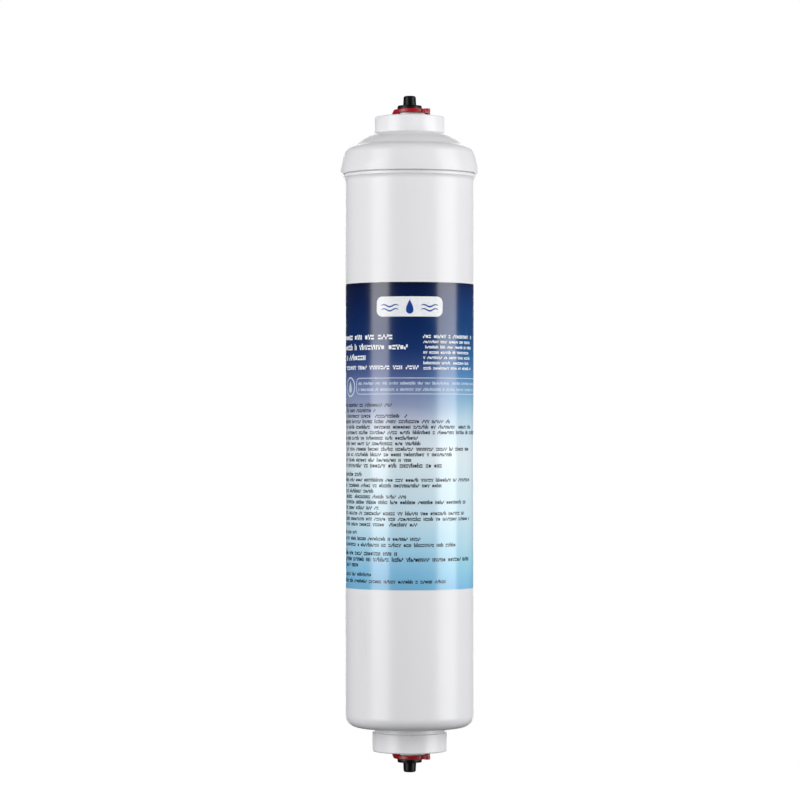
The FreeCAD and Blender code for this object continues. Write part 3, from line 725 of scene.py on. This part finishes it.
housing_end_cap = turned(
    "housing_end_cap",
    corner(UPPER_NECK_RADIUS, FACE, NECK_ROUNDING),
    corner(UPPER_NECK_RADIUS, DOME_BASE, NECK_ROOT_ROUNDING),
    bowed_to(LEDGE_RADIUS, LEDGE, DOME_BOW),
    corner(LEDGE_RADIUS + LEDGE_WIDTH, LEDGE),
    bowed_to(SHOULDER_RADIUS, SHOULDER, SHOULDER_BOW),
    bowed_to(LIP_RADIUS - LIP_TAPER, LIP + LIP_HEIGHT, SKIRT_BOW),
    corner(LIP_RADIUS, LIP, LIP_ROUNDING),
    corner(SKIRT_BORE, LIP),
    corner(SKIRT_BORE, JOINT_TOP),
    corner(BARREL_BORE, JOINT_TOP),
    corner(BARREL_BORE, JOINT_TOP + CAP_BORE_STEP),
    bowed_to(LEDGE_RADIUS - WALL, LEDGE - WALL, -INNER_SHOULDER_BOW),
    bowed_to(UPPER_NECK_RADIUS - WALL, DOME_BASE - WALL, -DOME_BOW),
    corner(UPPER_NECK_RADIUS - WALL, FACE - WALL),
    corner(PORT_RADIUS, FACE - WALL),
    corner(PORT_RADIUS, FACE - PORT_DEPTH),
    *port_bore(1),
)
finished(housing_end_cap, "housing", "white_polypropylene", WHITE_PLASTIC, "end_cap")

film = turned(
    "label_film_wrap",
    corner(FILM_BACK, LABEL_LOW.z), corner(LABEL_RADIUS, LABEL_LOW.z),
    corner(LABEL_RADIUS, LABEL_HIGH.z), corner(FILM_BACK, LABEL_HIGH.z),
    first=90 + LABEL_SEAM_ANGLE / 2, sweep=360 - LABEL_SEAM_ANGLE,
)
finished(film, "housing", "printed_film", label_film(), "label")


# Label print: drawn flat, with the way round the label as x and the height as z, then wrapped round it

def wrapped(obj):
    """Wraps a flat print, in metres, round the label. Its y runs inwards."""
    for vertex in obj.data.vertices:
        way, depth, height = vertex.co
        angle = way / (LABEL_RADIUS * MM)
        radius = LABEL_RADIUS * MM - depth
        vertex.co = (radius * math.sin(angle), -radius * math.cos(angle), height)
    obj.data.update()
    return obj


def printed_shape(name, outline, ink=INK, hole=None):
    """A flat inked shape with the outline, in millimetres, and a hole if it has one."""
    flat = bmesh.new()
    loops = [outline] + ([hole] if hole else [])
    edges = []
    for loop in loops:
        vertices = [flat.verts.new((x * MM, -ink * MM, z * MM)) for x, z in loop]
        edges += [flat.edges.new((vertices[i - 1], vertices[i])) for i in range(len(vertices))]
    bmesh.ops.triangle_fill(flat, edges=edges, use_beauty=True, use_dissolve=False)
    low = min(x for x, _ in outline)
    high = max(x for x, _ in outline)
    for cut in range(math.ceil(low), math.floor(high) + 1):
        geometry = flat.verts[:] + flat.edges[:] + flat.faces[:]
        bmesh.ops.bisect_plane(
            flat, geom=geometry, plane_co=(cut * MM, 0, 0), plane_no=(1, 0, 0), dist=MERGE_DISTANCE)
    solid = bmesh.ops.extrude_face_region(flat, geom=flat.faces[:])
    moved = [part for part in solid["geom"] if isinstance(part, bmesh.types.BMVert)]
    bmesh.ops.translate(flat, verts=moved, vec=(0, (ink + INK_ROOT) * MM, 0))
    bmesh.ops.recalc_face_normals(flat, faces=flat.faces)
    return wrapped(solid_object(name, flat))


def inked(piece, ink):
    """Finishes a printed piece."""
    finished(piece, "housing", "printed_film", ink)


def rounded_box(left, right, foot, top, rounding, steps=7):
    """The outline of a box with rounded corners."""
    outline = []
    for turn, (x, z) in enumerate(((right, top), (left, top), (left, foot), (right, foot))):
        centre_x = x - math.copysign(rounding, x - (left + right) / 2)
        centre_z = z - math.copysign(rounding, z - (foot + top) / 2)
        for step in range(steps + 1):
            angle = math.pi / 2 * (turn + step / steps)
            outline.append((centre_x + rounding * math.cos(angle), centre_z + rounding * math.sin(angle)))
    return outline


def framed(name, box, rounding, line):
    """A printed frame: a rounded box with an even line round it."""
    left, right, foot, top = box
    inner = rounded_box(left + line, right - line, foot + line, top - line, rounding - line)
    return printed_shape(name, rounded_box(*box, rounding), hole=inner)


def circle_outline(x, z, radius, steps=40):
    """The outline of a round spot."""
    turns = [2 * math.pi * step / steps for step in range(steps)]
    return [(x + radius * math.cos(turn), z + radius * math.sin(turn)) for turn in turns]


def drop_outline(x, z, radius, steps=28):
    """A water drop: a round foot of the radius, drawn up to a point."""
    outline = []
    for step in range(steps):
        turn = 2 * math.pi * step / steps
        swell = 0.5 * (1 - math.cos(turn))
        across = math.sin(turn) * swell ** 0.75
        outline.append((x + radius * across, z + radius * (0.25 + 1.35 * math.cos(turn))))
    return outline


def wave_outline(x, z, steps=24):
    """A band that waves along its length and is thin at its ends."""
    upper = []
    for step in range(steps + 1):
        share = step / steps
        taper = WAVE_WIDTH / 2 * math.sin(math.pi * share) ** 0.5
        centre = z + WAVE_RISE * math.sin(3 * math.pi * share)
        upper.append((x + WAVE_LENGTH * share, centre, taper))
    top = [(way, centre + half) for way, centre, half in upper[1:-1]]
    foot = [(way, centre - half) for way, centre, half in reversed(upper[1:-1])]
    return [(upper[0][0], upper[0][1]), *top, (upper[-1][0], upper[-1][1]), *foot]


def arrow_outline(x, z, length, width, head_share=0.42, stem_share=0.4):
    """An arrow that points down, the way the water flows."""
    head = head_share * length
    stem = stem_share * width / 2
    right = [(stem, length / 2), (stem, head - length / 2), (width / 2, head - length / 2)]
    points = right + [(0.0, -length / 2)] + [(-across, up) for across, up in reversed(right)]
    return [(x + across, z + up) for across, up in points]


emblem = printed_shape("emblem_panel", rounded_box(
    -EMBLEM_HALF_WIDTH, EMBLEM_HALF_WIDTH, EMBLEM_HEIGHT - EMBLEM_HALF_HEIGHT,
    EMBLEM_HEIGHT + EMBLEM_HALF_HEIGHT, FRAME_ROUNDING))
inked(emblem, WHITE_INK)
waves = [
    printed_shape("wave", wave_outline(start, EMBLEM_HEIGHT + lift), ink=THICK_INK)
    for start in WAVE_STARTS for lift in WAVE_LIFTS
]
drop = printed_shape("drop", drop_outline(*DROP, DROP_RADIUS), ink=THICK_INK)
inked(joined("emblem_drop_and_waves", drop, *waves), BLUE_INK)

panel = framed("panel", PANEL, PANEL_ROUNDING, PANEL_LINE)
badge_ring = printed_shape(
    "badge", circle_outline(*BADGE, BADGE_RADIUS), hole=circle_outline(*BADGE, BADGE_BORE))
badge_drop = printed_shape("badge_drop", drop_outline(*BADGE_DROP, BADGE_DROP_RADIUS))
inked(joined("panel_line_and_badge", panel, badge_ring, badge_drop), PALE_INK)

flow_arrow = printed_shape("flow_arrow", arrow_outline(*ARROW, ARROW_LENGTH, ARROW_WIDTH))
arrow_frame = framed("arrow_frame", ARROW_FRAME, FRAME_ROUNDING, ARROW_FRAME_LINE)
inked(joined("flow_arrow_and_frame", flow_arrow, arrow_frame), WHITE_INK)


# Lines of print: top line, pitch, mark height, where the lines start, and where each one ends
WHITE_LINES = (
    (38.0, 3.97, 2.45, PRINT_MARGIN, (-7.5, -1.5, -19.6)),
    (26.1, 3.97, 2.0, PRINT_MARGIN, (2.9,)),
    (38.1, 2.08, 1.7, COLUMN_MARGIN, (30.9,)),
    (35.9, 2.05, 1.25, COLUMN_MARGIN, (29.4, 30.6, 28.9, 30.2, 29.0, 30.4)),
    (46.0, 4.0, 2.0, BACK_MARGIN, (70.0, 64.0)),
)
PALE_LINES = ((19.8, 2.4, 1.2, PANEL_MARGIN, (34.0, 33.2)),)
NAVY_LINES = (
    (11.4, 2.145, 1.6, PRINT_MARGIN, (-7.5, -14.5, -1.5, 16.3, 29.9, 35.4, 3.7, 3.7, 28.0, 18.3, 0.1)),
    (-12.2, 2.145, 1.8, PRINT_MARGIN, (12.5,)),
    (-15.6, 2.167, 1.8, PRINT_MARGIN, (-20.5,)),
    (-17.8, 2.167, 1.6, PRINT_MARGIN, (28.9, 13.4, -15.5, -1.9, 25.6, -13.1, 25.6, 28.9, 2.5)),
    (-38.3, 2.4, 1.6, PRINT_MARGIN, (-24.5, 3.7, 19.3)),
    (-46.4, 2.3, 1.85, PRINT_MARGIN, (-5.5, 28.0, -23.8)),
    (-54.7, 2.6, 1.55, PRINT_MARGIN, (-15.5, 14.3)),
    (4.0, 2.4, 1.35, BACK_MARGIN, (60.0, 74.0, 72.5, 73.0, 66.0, 73.5, 71.0, 55.0)),
    (-20.0, 2.4, 1.35, BACK_MARGIN, (58.0, 73.0, 74.0, 69.0, 72.0, 62.0)),
    (4.0, 2.4, 1.35, ARROW_MARGIN, (-58.0, -46.0, -47.5, -52.0, -46.5, -60.0)),
)

# Bars, dashes and blocks of the plain marks that stand for small print, which aren't letters:
# middle, height of middle, width and height
MARKS = (
    ((-0.17, 0.38, 0.22, 0.76), (0.17, 0.38, 0.22, 0.76)),
    ((0.0, 0.14, 0.56, 0.26), (0.0, 0.6, 0.56, 0.26)),
    ((0.0, 0.36, 0.5, 0.6),),
    ((-0.17, 0.5, 0.22, 1.0), (0.17, 0.34, 0.22, 0.68)),
    ((-0.16, 0.22, 0.26, 0.44), (0.16, 0.58, 0.26, 0.44)),
    ((-0.18, 0.62, 0.22, 0.32), (0.02, 0.22, 0.28, 0.44), (0.22, 0.62, 0.22, 0.32)),
)


def printed_lines_tree():
    """Rows of plain marks along the given lines, wrapped round the label."""
    inputs = {"Lines": (GEOMETRY, None), "Material": (MATERIAL, None), "Seed": (INTEGER, 1)}
    inputs |= numbers(
        mark_pitch=0.62, word_length=6.0, ink_thickness=INK * MM, label_radius=LABEL_RADIUS * MM)
    tree, given, out = new_group("printed_lines", "GeometryNodeTree", inputs, {"Print": GEOMETRY})
    marks = []
    for strokes in MARKS:
        parts = []
        for middle, height, wide, tall in strokes:
            size = vector(tree, X=wide, Y=given["Ink Thickness"], Z=tall)
            stroke = find(add(tree, "GeometryNodeMeshCube", {"Size": size}).outputs, "Mesh")
            parts.append(add(tree, "GeometryNodeTransform", {
                "Geometry": stroke, "Translation": (middle, 0.0, height - 0.5)}))
        marks.append(add(tree, "GeometryNodeGeometryToInstance", {"Geometry": joined_parts(tree, parts)}))
    size = add(tree, "GeometryNodeInputNamedAttribute", {"Name": "mark_height"}, data_type="FLOAT")
    rows = add(tree, "GeometryNodeMeshToCurve", {"Mesh": given["Lines"]})
    spaced = add(tree, "GeometryNodeResampleCurve", {
        "Curve": rows, "Length": calc(tree, "MULTIPLY", size, given["Mark Pitch"])}, mode="LENGTH")
    index = add(tree, "GeometryNodeInputIndex")
    in_word = calc(tree, "MODULO", index, given["Word Length"])
    word = calc(tree, "FLOOR", calc(tree, "DIVIDE", index, given["Word Length"]))
    gap_place = add(tree, "FunctionNodeRandomValue", {
        "Min": 0, "Max": calc(tree, "SUBTRACT", given["Word Length"], 1.0), "ID": word,
        "Seed": given["Seed"]}, data_type="INT")
    gaps = calc(tree, "COMPARE", in_word, gap_place, 0.5)
    words = add(tree, "GeometryNodeDeleteGeometry", {"Geometry": spaced, "Selection": gaps}, domain="POINT")
    choice = add(tree, "FunctionNodeRandomValue", {
        "Min": 0, "Max": len(MARKS) - 1, "Seed": calc(tree, "ADD", given["Seed"], 1.0)}, data_type="INT")
    scale = vector(tree, X=size, Y=1.0, Z=size)
    set_marks = add(tree, "GeometryNodeInstanceOnPoints", {
        "Points": words, "Instance": joined_parts(tree, marks), "Pick Instance": True,
        "Instance Index": choice, "Scale": scale})
    flat = add(tree, "GeometryNodeRealizeInstances", {"Geometry": set_marks})
    split = add(tree, "ShaderNodeSeparateXYZ", {"Vector": add(tree, "GeometryNodeInputPosition")})
    angle = calc(tree, "DIVIDE", split.outputs["X"], given["Label Radius"])
    radius = calc(tree, "SUBTRACT", given["Label Radius"], split.outputs["Y"])
    across = calc(tree, "MULTIPLY", radius, calc(tree, "SINE", angle))
    ahead = calc(tree, "MULTIPLY", radius, calc(tree, "COSINE", angle))
    place = vector(tree, X=across, Y=calc(tree, "MULTIPLY", ahead, -1.0), Z=split.outputs["Z"])
    round_label = add(tree, "GeometryNodeSetPosition", {"Geometry": flat, "Position": place})
    wire(tree, add(tree, "GeometryNodeSetMaterial", {
        "Geometry": round_label, "Material": given["Material"]}), out["Print"])
    return tree


def shaped(obj, tree, **inputs):
    """Runs a Geometry Nodes tree on the object and keeps its result as the object's plain mesh."""
    modifier = obj.modifiers.new(tree.name, "NODES")
    modifier.node_group = tree
    values = {title(name): value for name, value in inputs.items()}
    for socket in tree.interface.items_tree:
        if socket.in_out == "INPUT" and socket.name in values:
            modifier[socket.identifier] = values[socket.name]
    return settled(obj)


def line_object(name, blocks):
    """Flat edges, one for each line of print, that carry their marks' height."""
    points = []
    heights = []
    for top, pitch, mark, start, ends in blocks:
        for index, end in enumerate(ends):
            height = top - index * pitch
            points += [Vector((start, 0, height)) * MM, Vector((end, 0, height)) * MM]
            heights += [mark * MM] * 2
    mesh = bpy.data.meshes.new(name)
    mesh.from_pydata(points, [(index, index + 1) for index in range(0, len(points), 2)], [])
    mesh.attributes.new("mark_height", "FLOAT", "POINT").data.foreach_set("value", heights)
    return placed(name, mesh)


PRINTED_LINES = printed_lines_tree()
for name, blocks, ink, seed in (
    ("print_white_lines", WHITE_LINES, WHITE_INK, 3),
    ("print_pale_lines", PALE_LINES, PALE_INK, 5),
    ("print_navy_lines", NAVY_LINES, NAVY_INK, 7),
):
    inked(shaped(line_object(name, blocks), PRINTED_LINES, seed=seed, material=ink), ink)


# Cartridge

def plain_tube(name, bore, radius, rounding):
    """A tube as long as the carbon block."""
    return turned(
        name, corner(bore, BLOCK_LOW.z, rounding), corner(radius, BLOCK_LOW.z, rounding),
        corner(radius, BLOCK_HIGH.z, rounding), corner(bore, BLOCK_HIGH.z, rounding))


block = plain_tube("carbon_block_body", BLOCK_BORE, BLOCK_RADIUS, BLOCK_ROUNDING)
finished(block, "housing", "pressed_carbon", pressed_carbon(), "carbon_block")
wrap = plain_tube("fibre_wrap", BLOCK_RADIUS, WRAP_RADIUS, WRAP_ROUNDING)
finished(wrap, "housing", "nonwoven_fibre", nonwoven_fibre(), "prefilter_wrap")


def netting_tree():
    """A tubular net of upright strands with hoops over them, welded where they cross."""
    inputs = {"Material": (MATERIAL, None), "Strands": (INTEGER, 24), "Hoops": (INTEGER, 24)}
    inputs |= numbers(
        inner_radius=0.0203, outer_radius=0.0209, length=0.19, foot=-0.09, strand_width=0.001)
    tree, given, out = new_group("tubular_net", "GeometryNodeTree", inputs, {"Net": GEOMETRY})
    depth = calc(tree, "SUBTRACT", given["Outer Radius"], given["Inner Radius"])
    strand_depth = calc(tree, "MULTIPLY", depth, NET_STRAND_DEPTH_SHARE)
    half_strand = calc(tree, "MULTIPLY", strand_depth, 0.5)
    unit = add(tree, "GeometryNodeCurvePrimitiveCircle", {"Resolution": 8, "Radius": 0.5})
    section = vector(tree, X=strand_depth, Y=given["Strand Width"], Z=1.0)
    oval = add(tree, "GeometryNodeTransform", {"Geometry": unit, "Scale": section})
    top = vector(tree, Z=calc(tree, "ADD", given["Foot"], given["Length"]))
    foot = vector(tree, Z=given["Foot"])
    line = add(tree, "GeometryNodeCurvePrimitiveLine", {"Start": foot, "End": top})
    strand = add(tree, "GeometryNodeCurveToMesh", {"Curve": line, "Profile Curve": oval, "Fill Caps": True})
    strand_ring = add(tree, "GeometryNodeMeshCircle", {
        "Vertices": given["Strands"], "Radius": calc(tree, "ADD", given["Inner Radius"], half_strand)})
    outward = add(tree, "FunctionNodeAlignRotationToVector", {
        "Vector": add(tree, "GeometryNodeInputPosition")}, axis="X", pivot_axis="Z")
    strands = add(tree, "GeometryNodeInstanceOnPoints", {
        "Points": strand_ring, "Instance": strand, "Rotation": outward})
    hoop_line = add(tree, "GeometryNodeCurvePrimitiveCircle", {
        "Resolution": 96, "Radius": calc(tree, "SUBTRACT", given["Outer Radius"], half_strand)})
    hoop = add(tree, "GeometryNodeCurveToMesh", {"Curve": hoop_line, "Profile Curve": oval})
    half_width = calc(tree, "MULTIPLY", given["Strand Width"], 0.5)
    first = vector(tree, Z=calc(tree, "ADD", given["Foot"], half_width))
    span = calc(tree, "SUBTRACT", given["Length"], given["Strand Width"])
    gap = calc(tree, "DIVIDE", span, calc(tree, "SUBTRACT", given["Hoops"], 1.0))
    stack = add(tree, "GeometryNodeMeshLine", {
        "Count": given["Hoops"], "Start Location": first, "Offset": vector(tree, Z=gap)})
    hoops = add(tree, "GeometryNodeInstanceOnPoints", {"Points": stack, "Instance": hoop})
    real = add(tree, "GeometryNodeRealizeInstances", {"Geometry": joined_parts(tree, (strands, hoops))})
    soft = add(tree, "GeometryNodeSetShadeSmooth", {"Geometry": real})
    wire(tree, add(tree, "GeometryNodeSetMaterial", {
        "Geometry": soft, "Material": given["Material"]}), out["Net"])
    return tree


block_length = BLOCK_HIGH.z - BLOCK_LOW.z
net = shaped(
    mesh_object("tubular_net", [], []), netting_tree(), material=NET_PLASTIC,
    inner_radius=WRAP_RADIUS * MM, outer_radius=NETTING_RADIUS * MM, length=block_length * MM,
    foot=BLOCK_LOW.z * MM, strand_width=NET_STRAND_WIDTH * MM, strands=NET_STRANDS,
    hoops=round((block_length - NET_STRAND_WIDTH) / NET_PITCH) + 1,
)
finished(net, "housing", "net_polyethylene", NET_PLASTIC, "outer_netting")


def o_ring(name, centre_radius, height, half_thickness, steps=20):
    """A round rubber seal."""
    outline = []
    for step in range(steps):
        turn = 2 * math.pi * step / steps
        outline.append(corner(
            centre_radius + half_thickness * math.cos(turn), height + half_thickness * math.sin(turn)))
    return turned(name, *outline, segments=PORT_SEGMENTS)


spigot_seals = joined("spigot_seals", *(o_ring("seal", *seal) for seal in SPIGOT_SEALS))
finished(smooth(spigot_seals), "housing", "seal_rubber", RUBBER, "spigot_o_rings")

for node in ("core_tube", "block_top_cap", "block_bottom_cap"):
    coated(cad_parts[node], CAP_PLASTIC)


# Push-in ports

def port_piece(name, steps):
    """A turned piece of the upper port, from its steps above the neck face."""
    outline = [corner(radius, FACE + height, *rounding) for radius, height, *rounding in steps]
    return turned(name, *outline, segments=PORT_SEGMENTS)


def cut_collet():
    """The gripping sleeve, with slots between its fingers."""
    sleeve = port_piece("collet", COLLET_STEPS)
    heights = [FACE + height for height in COLLET_SLOT_HEIGHTS]
    sides = (-COLLET_SLOT_WIDTH / 2, COLLET_SLOT_WIDTH / 2)
    slots = []
    for turn in range(COLLET_FINGERS):
        spin = Matrix.Rotation(2 * math.pi / COLLET_FINGERS * turn, 3, "Z")
        vertices = [spin @ Vector((x, y, z)) for x in COLLET_SLOT_REACH for y in sides for z in heights]
        slots.append(mesh_object("slot", vertices, [
            (0, 1, 3, 2), (4, 6, 7, 5), (0, 4, 5, 1), (2, 3, 7, 6), (0, 2, 6, 4), (1, 5, 7, 3)]))
    cutter = joined("slots", *slots)
    cut = sleeve.modifiers.new("slots", "BOOLEAN")
    cut.operation = "DIFFERENCE"
    cut.solver = "EXACT"
    cut.object = cutter
    settled(sleeve)
    bpy.data.objects.remove(cutter)
    return smooth(sleeve)


def softened_clip():
    """The clip with the small roundings of a moulded piece along all its edges."""
    clip = placed("clip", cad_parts["inlet_locking_clip"].data.copy())
    made = bmesh.new()
    made.from_mesh(clip.data)
    bmesh.ops.remove_doubles(made, verts=made.verts, dist=1e-6)
    made.to_mesh(clip.data)
    made.free()
    remesh = clip.modifiers.new("remesh", "REMESH")
    remesh.mode = "VOXEL"
    remesh.voxel_size = CLIP_VOXEL * MM
    relax = clip.modifiers.new("relax", "SMOOTH")
    relax.factor = 0.5
    relax.iterations = 4
    settled(clip)
    clip.data.shade_smooth()
    return clip


at_both_ports(
    port_piece("retainer", RETAINER_STEPS), "retainer_ring",
    "housing", "retainer_acetal", RETAINER_PLASTIC, "collet_retainer")
at_both_ports(
    port_piece("spacer", SPACER_STEPS), "seal_spacer",
    "housing", "retainer_acetal", RETAINER_PLASTIC, "spacer_washer")
at_both_ports(o_ring("port_seal", *PORT_SEAL), "port_seal", "housing", "seal_rubber", RUBBER, "o_ring")
at_both_ports(cut_collet(), "gripping_collet", "collet", "black_acetal", COLLET_PLASTIC, "collet")
for side in ("inlet_", "outlet_"):
    coated(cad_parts[side + "collet_teeth"], STEEL)
at_both_ports(softened_clip(), "retaining_clip", "clip", "red_acetal", CLIP_PLASTIC, "locking_clip")
at_both_ports(
    port_piece("plug", PLUG_STEPS), "transport_plug",
    "plug", "black_polypropylene", PLUG_PLASTIC, "plug")


# Stage, light and camera, in metres

FLOOR_HEIGHT = (LOWEST - PLUG_TRAVEL - 1.0) * MM
FLOOR_RADIUS = 0.6
FLOOR_FADE = (0.42, 0.1)
FLOOR_GLOW = 0.72

# Softboxes: name, place, the point they face, width, height and power in watts
STRIP_DISTANCE = 0.9
STRIP_HEIGHT = 0.22
LEFT_STRIP_AZIMUTH = math.radians(-54.0)
RIGHT_STRIP_AZIMUTH = math.radians(70.0)


def strip_place(azimuth):
    """A strip light's place, from its turn away from the front."""
    return STRIP_DISTANCE * math.sin(azimuth), -STRIP_DISTANCE * math.cos(azimuth), STRIP_HEIGHT


SOFTBOXES = (
    ("left_strip", strip_place(LEFT_STRIP_AZIMUTH), (0, 0, STRIP_HEIGHT), 0.56, 1.2, 9.6),
    ("right_strip", strip_place(RIGHT_STRIP_AZIMUTH), (0, 0, STRIP_HEIGHT), 0.66, 1.2, 11.0),
    ("rear_panel", (0.0, 1.2, 0.25), (0, 0, 0.25), 0.8, 1.2, 9.0),
    ("overhead", (0.0, -0.9, 1.1), (0, 0, 0), 1.2, 0.9, 0.6),
)
SURROUNDINGS_SEEN = 1.0
SURROUNDINGS_LIGHT = 0.05

CAMERA_DISTANCE = 1.263
CAMERA_LENS = 143.55
CAMERA_SHIFT = (-0.0121, 0.0425)


def stage_floor():
    """A pale floor below the furthest reach of the outlet plug. It fades out, and isn't seen from below."""
    bpy.ops.mesh.primitive_circle_add(
        vertices=96, radius=FLOOR_RADIUS, fill_type="NGON", location=(0, 0, FLOOR_HEIGHT))
    floor = bpy.context.object
    floor.name = "floor"
    material, tree, surface = new_material("floor_pale", colour(250, 250, 250), 0.2)
    surface["Roughness"].default_value = 0.6
    surface["Emission Color"].default_value = (1.0, 1.0, 1.0, 1.0)
    surface["Emission Strength"].default_value = FLOOR_GLOW
    place = object_place(tree)
    shade = blend(tree, noise(tree, place, 12.0), colour(250, 250, 250), colour(246, 246, 247))
    wire(tree, shade, surface["Base Color"])
    away = add(tree, "ShaderNodeVectorMath", {0: place}, operation="LENGTH").outputs["Value"]
    seen_from_below = add(tree, "ShaderNodeNewGeometry").outputs["Backfacing"]
    seen_from_above = calc(tree, "SUBTRACT", 1.0, seen_from_below)
    wire(tree, calc(tree, "MULTIPLY", spread(tree, away, *FLOOR_FADE), seen_from_above), surface["Alpha"])
    floor.data.materials.append(material)
    floor.visible_diffuse = False
    floor.visible_glossy = False
    floor.visible_shadow = False


def softbox(name, place, target, wide, tall, watts):
    """A soft rectangular light that the camera doesn't see."""
    light = bpy.data.lights.new(name, "AREA")
    light.shape = "RECTANGLE"
    light.size = wide
    light.size_y = tall
    light.energy = watts
    lamp = placed(name, light)
    lamp.location = place
    lamp.rotation_euler = (Vector(target) - Vector(place)).to_track_quat("-Z", "Y").to_euler()
    lamp.visible_camera = False


def pale_surroundings():
    """White behind the object, with hardly any light of its own."""
    world = bpy.data.worlds.new("surroundings")
    world.use_nodes = True
    tree = world.node_tree
    tree.nodes.clear()
    seen = add(tree, "ShaderNodeBackground", {"Color": (1.0, 1.0, 1.0, 1.0), "Strength": SURROUNDINGS_SEEN})
    lit = add(tree, "ShaderNodeBackground", {
        "Color": (0.96, 0.96, 1.0, 1.0), "Strength": SURROUNDINGS_LIGHT})
    path = add(tree, "ShaderNodeLightPath")
    either = add(tree, "ShaderNodeMixShader", {0: path.outputs["Is Camera Ray"], 1: lit, 2: seen})
    add(tree, "ShaderNodeOutputWorld", {"Surface": either})
    return world


def camera():
    """The camera, level with the object's middle."""
    lens = bpy.data.cameras.new("camera")
    lens.lens = CAMERA_LENS
    lens.sensor_width = 36.0
    lens.shift_x, lens.shift_y = CAMERA_SHIFT
    lens.clip_start = 0.05
    lens.clip_end = 20.0
    made = placed("camera", lens)
    made.location = (0.0, -CAMERA_DISTANCE, 0.0)
    made.rotation_euler = (math.pi / 2, 0.0, 0.0)
    return made


stage_floor()
for lamp in SOFTBOXES:
    softbox(*lamp)
scene = bpy.context.scene
scene.world = pale_surroundings()
scene.camera = camera()
scene.view_settings.view_transform = "Standard"
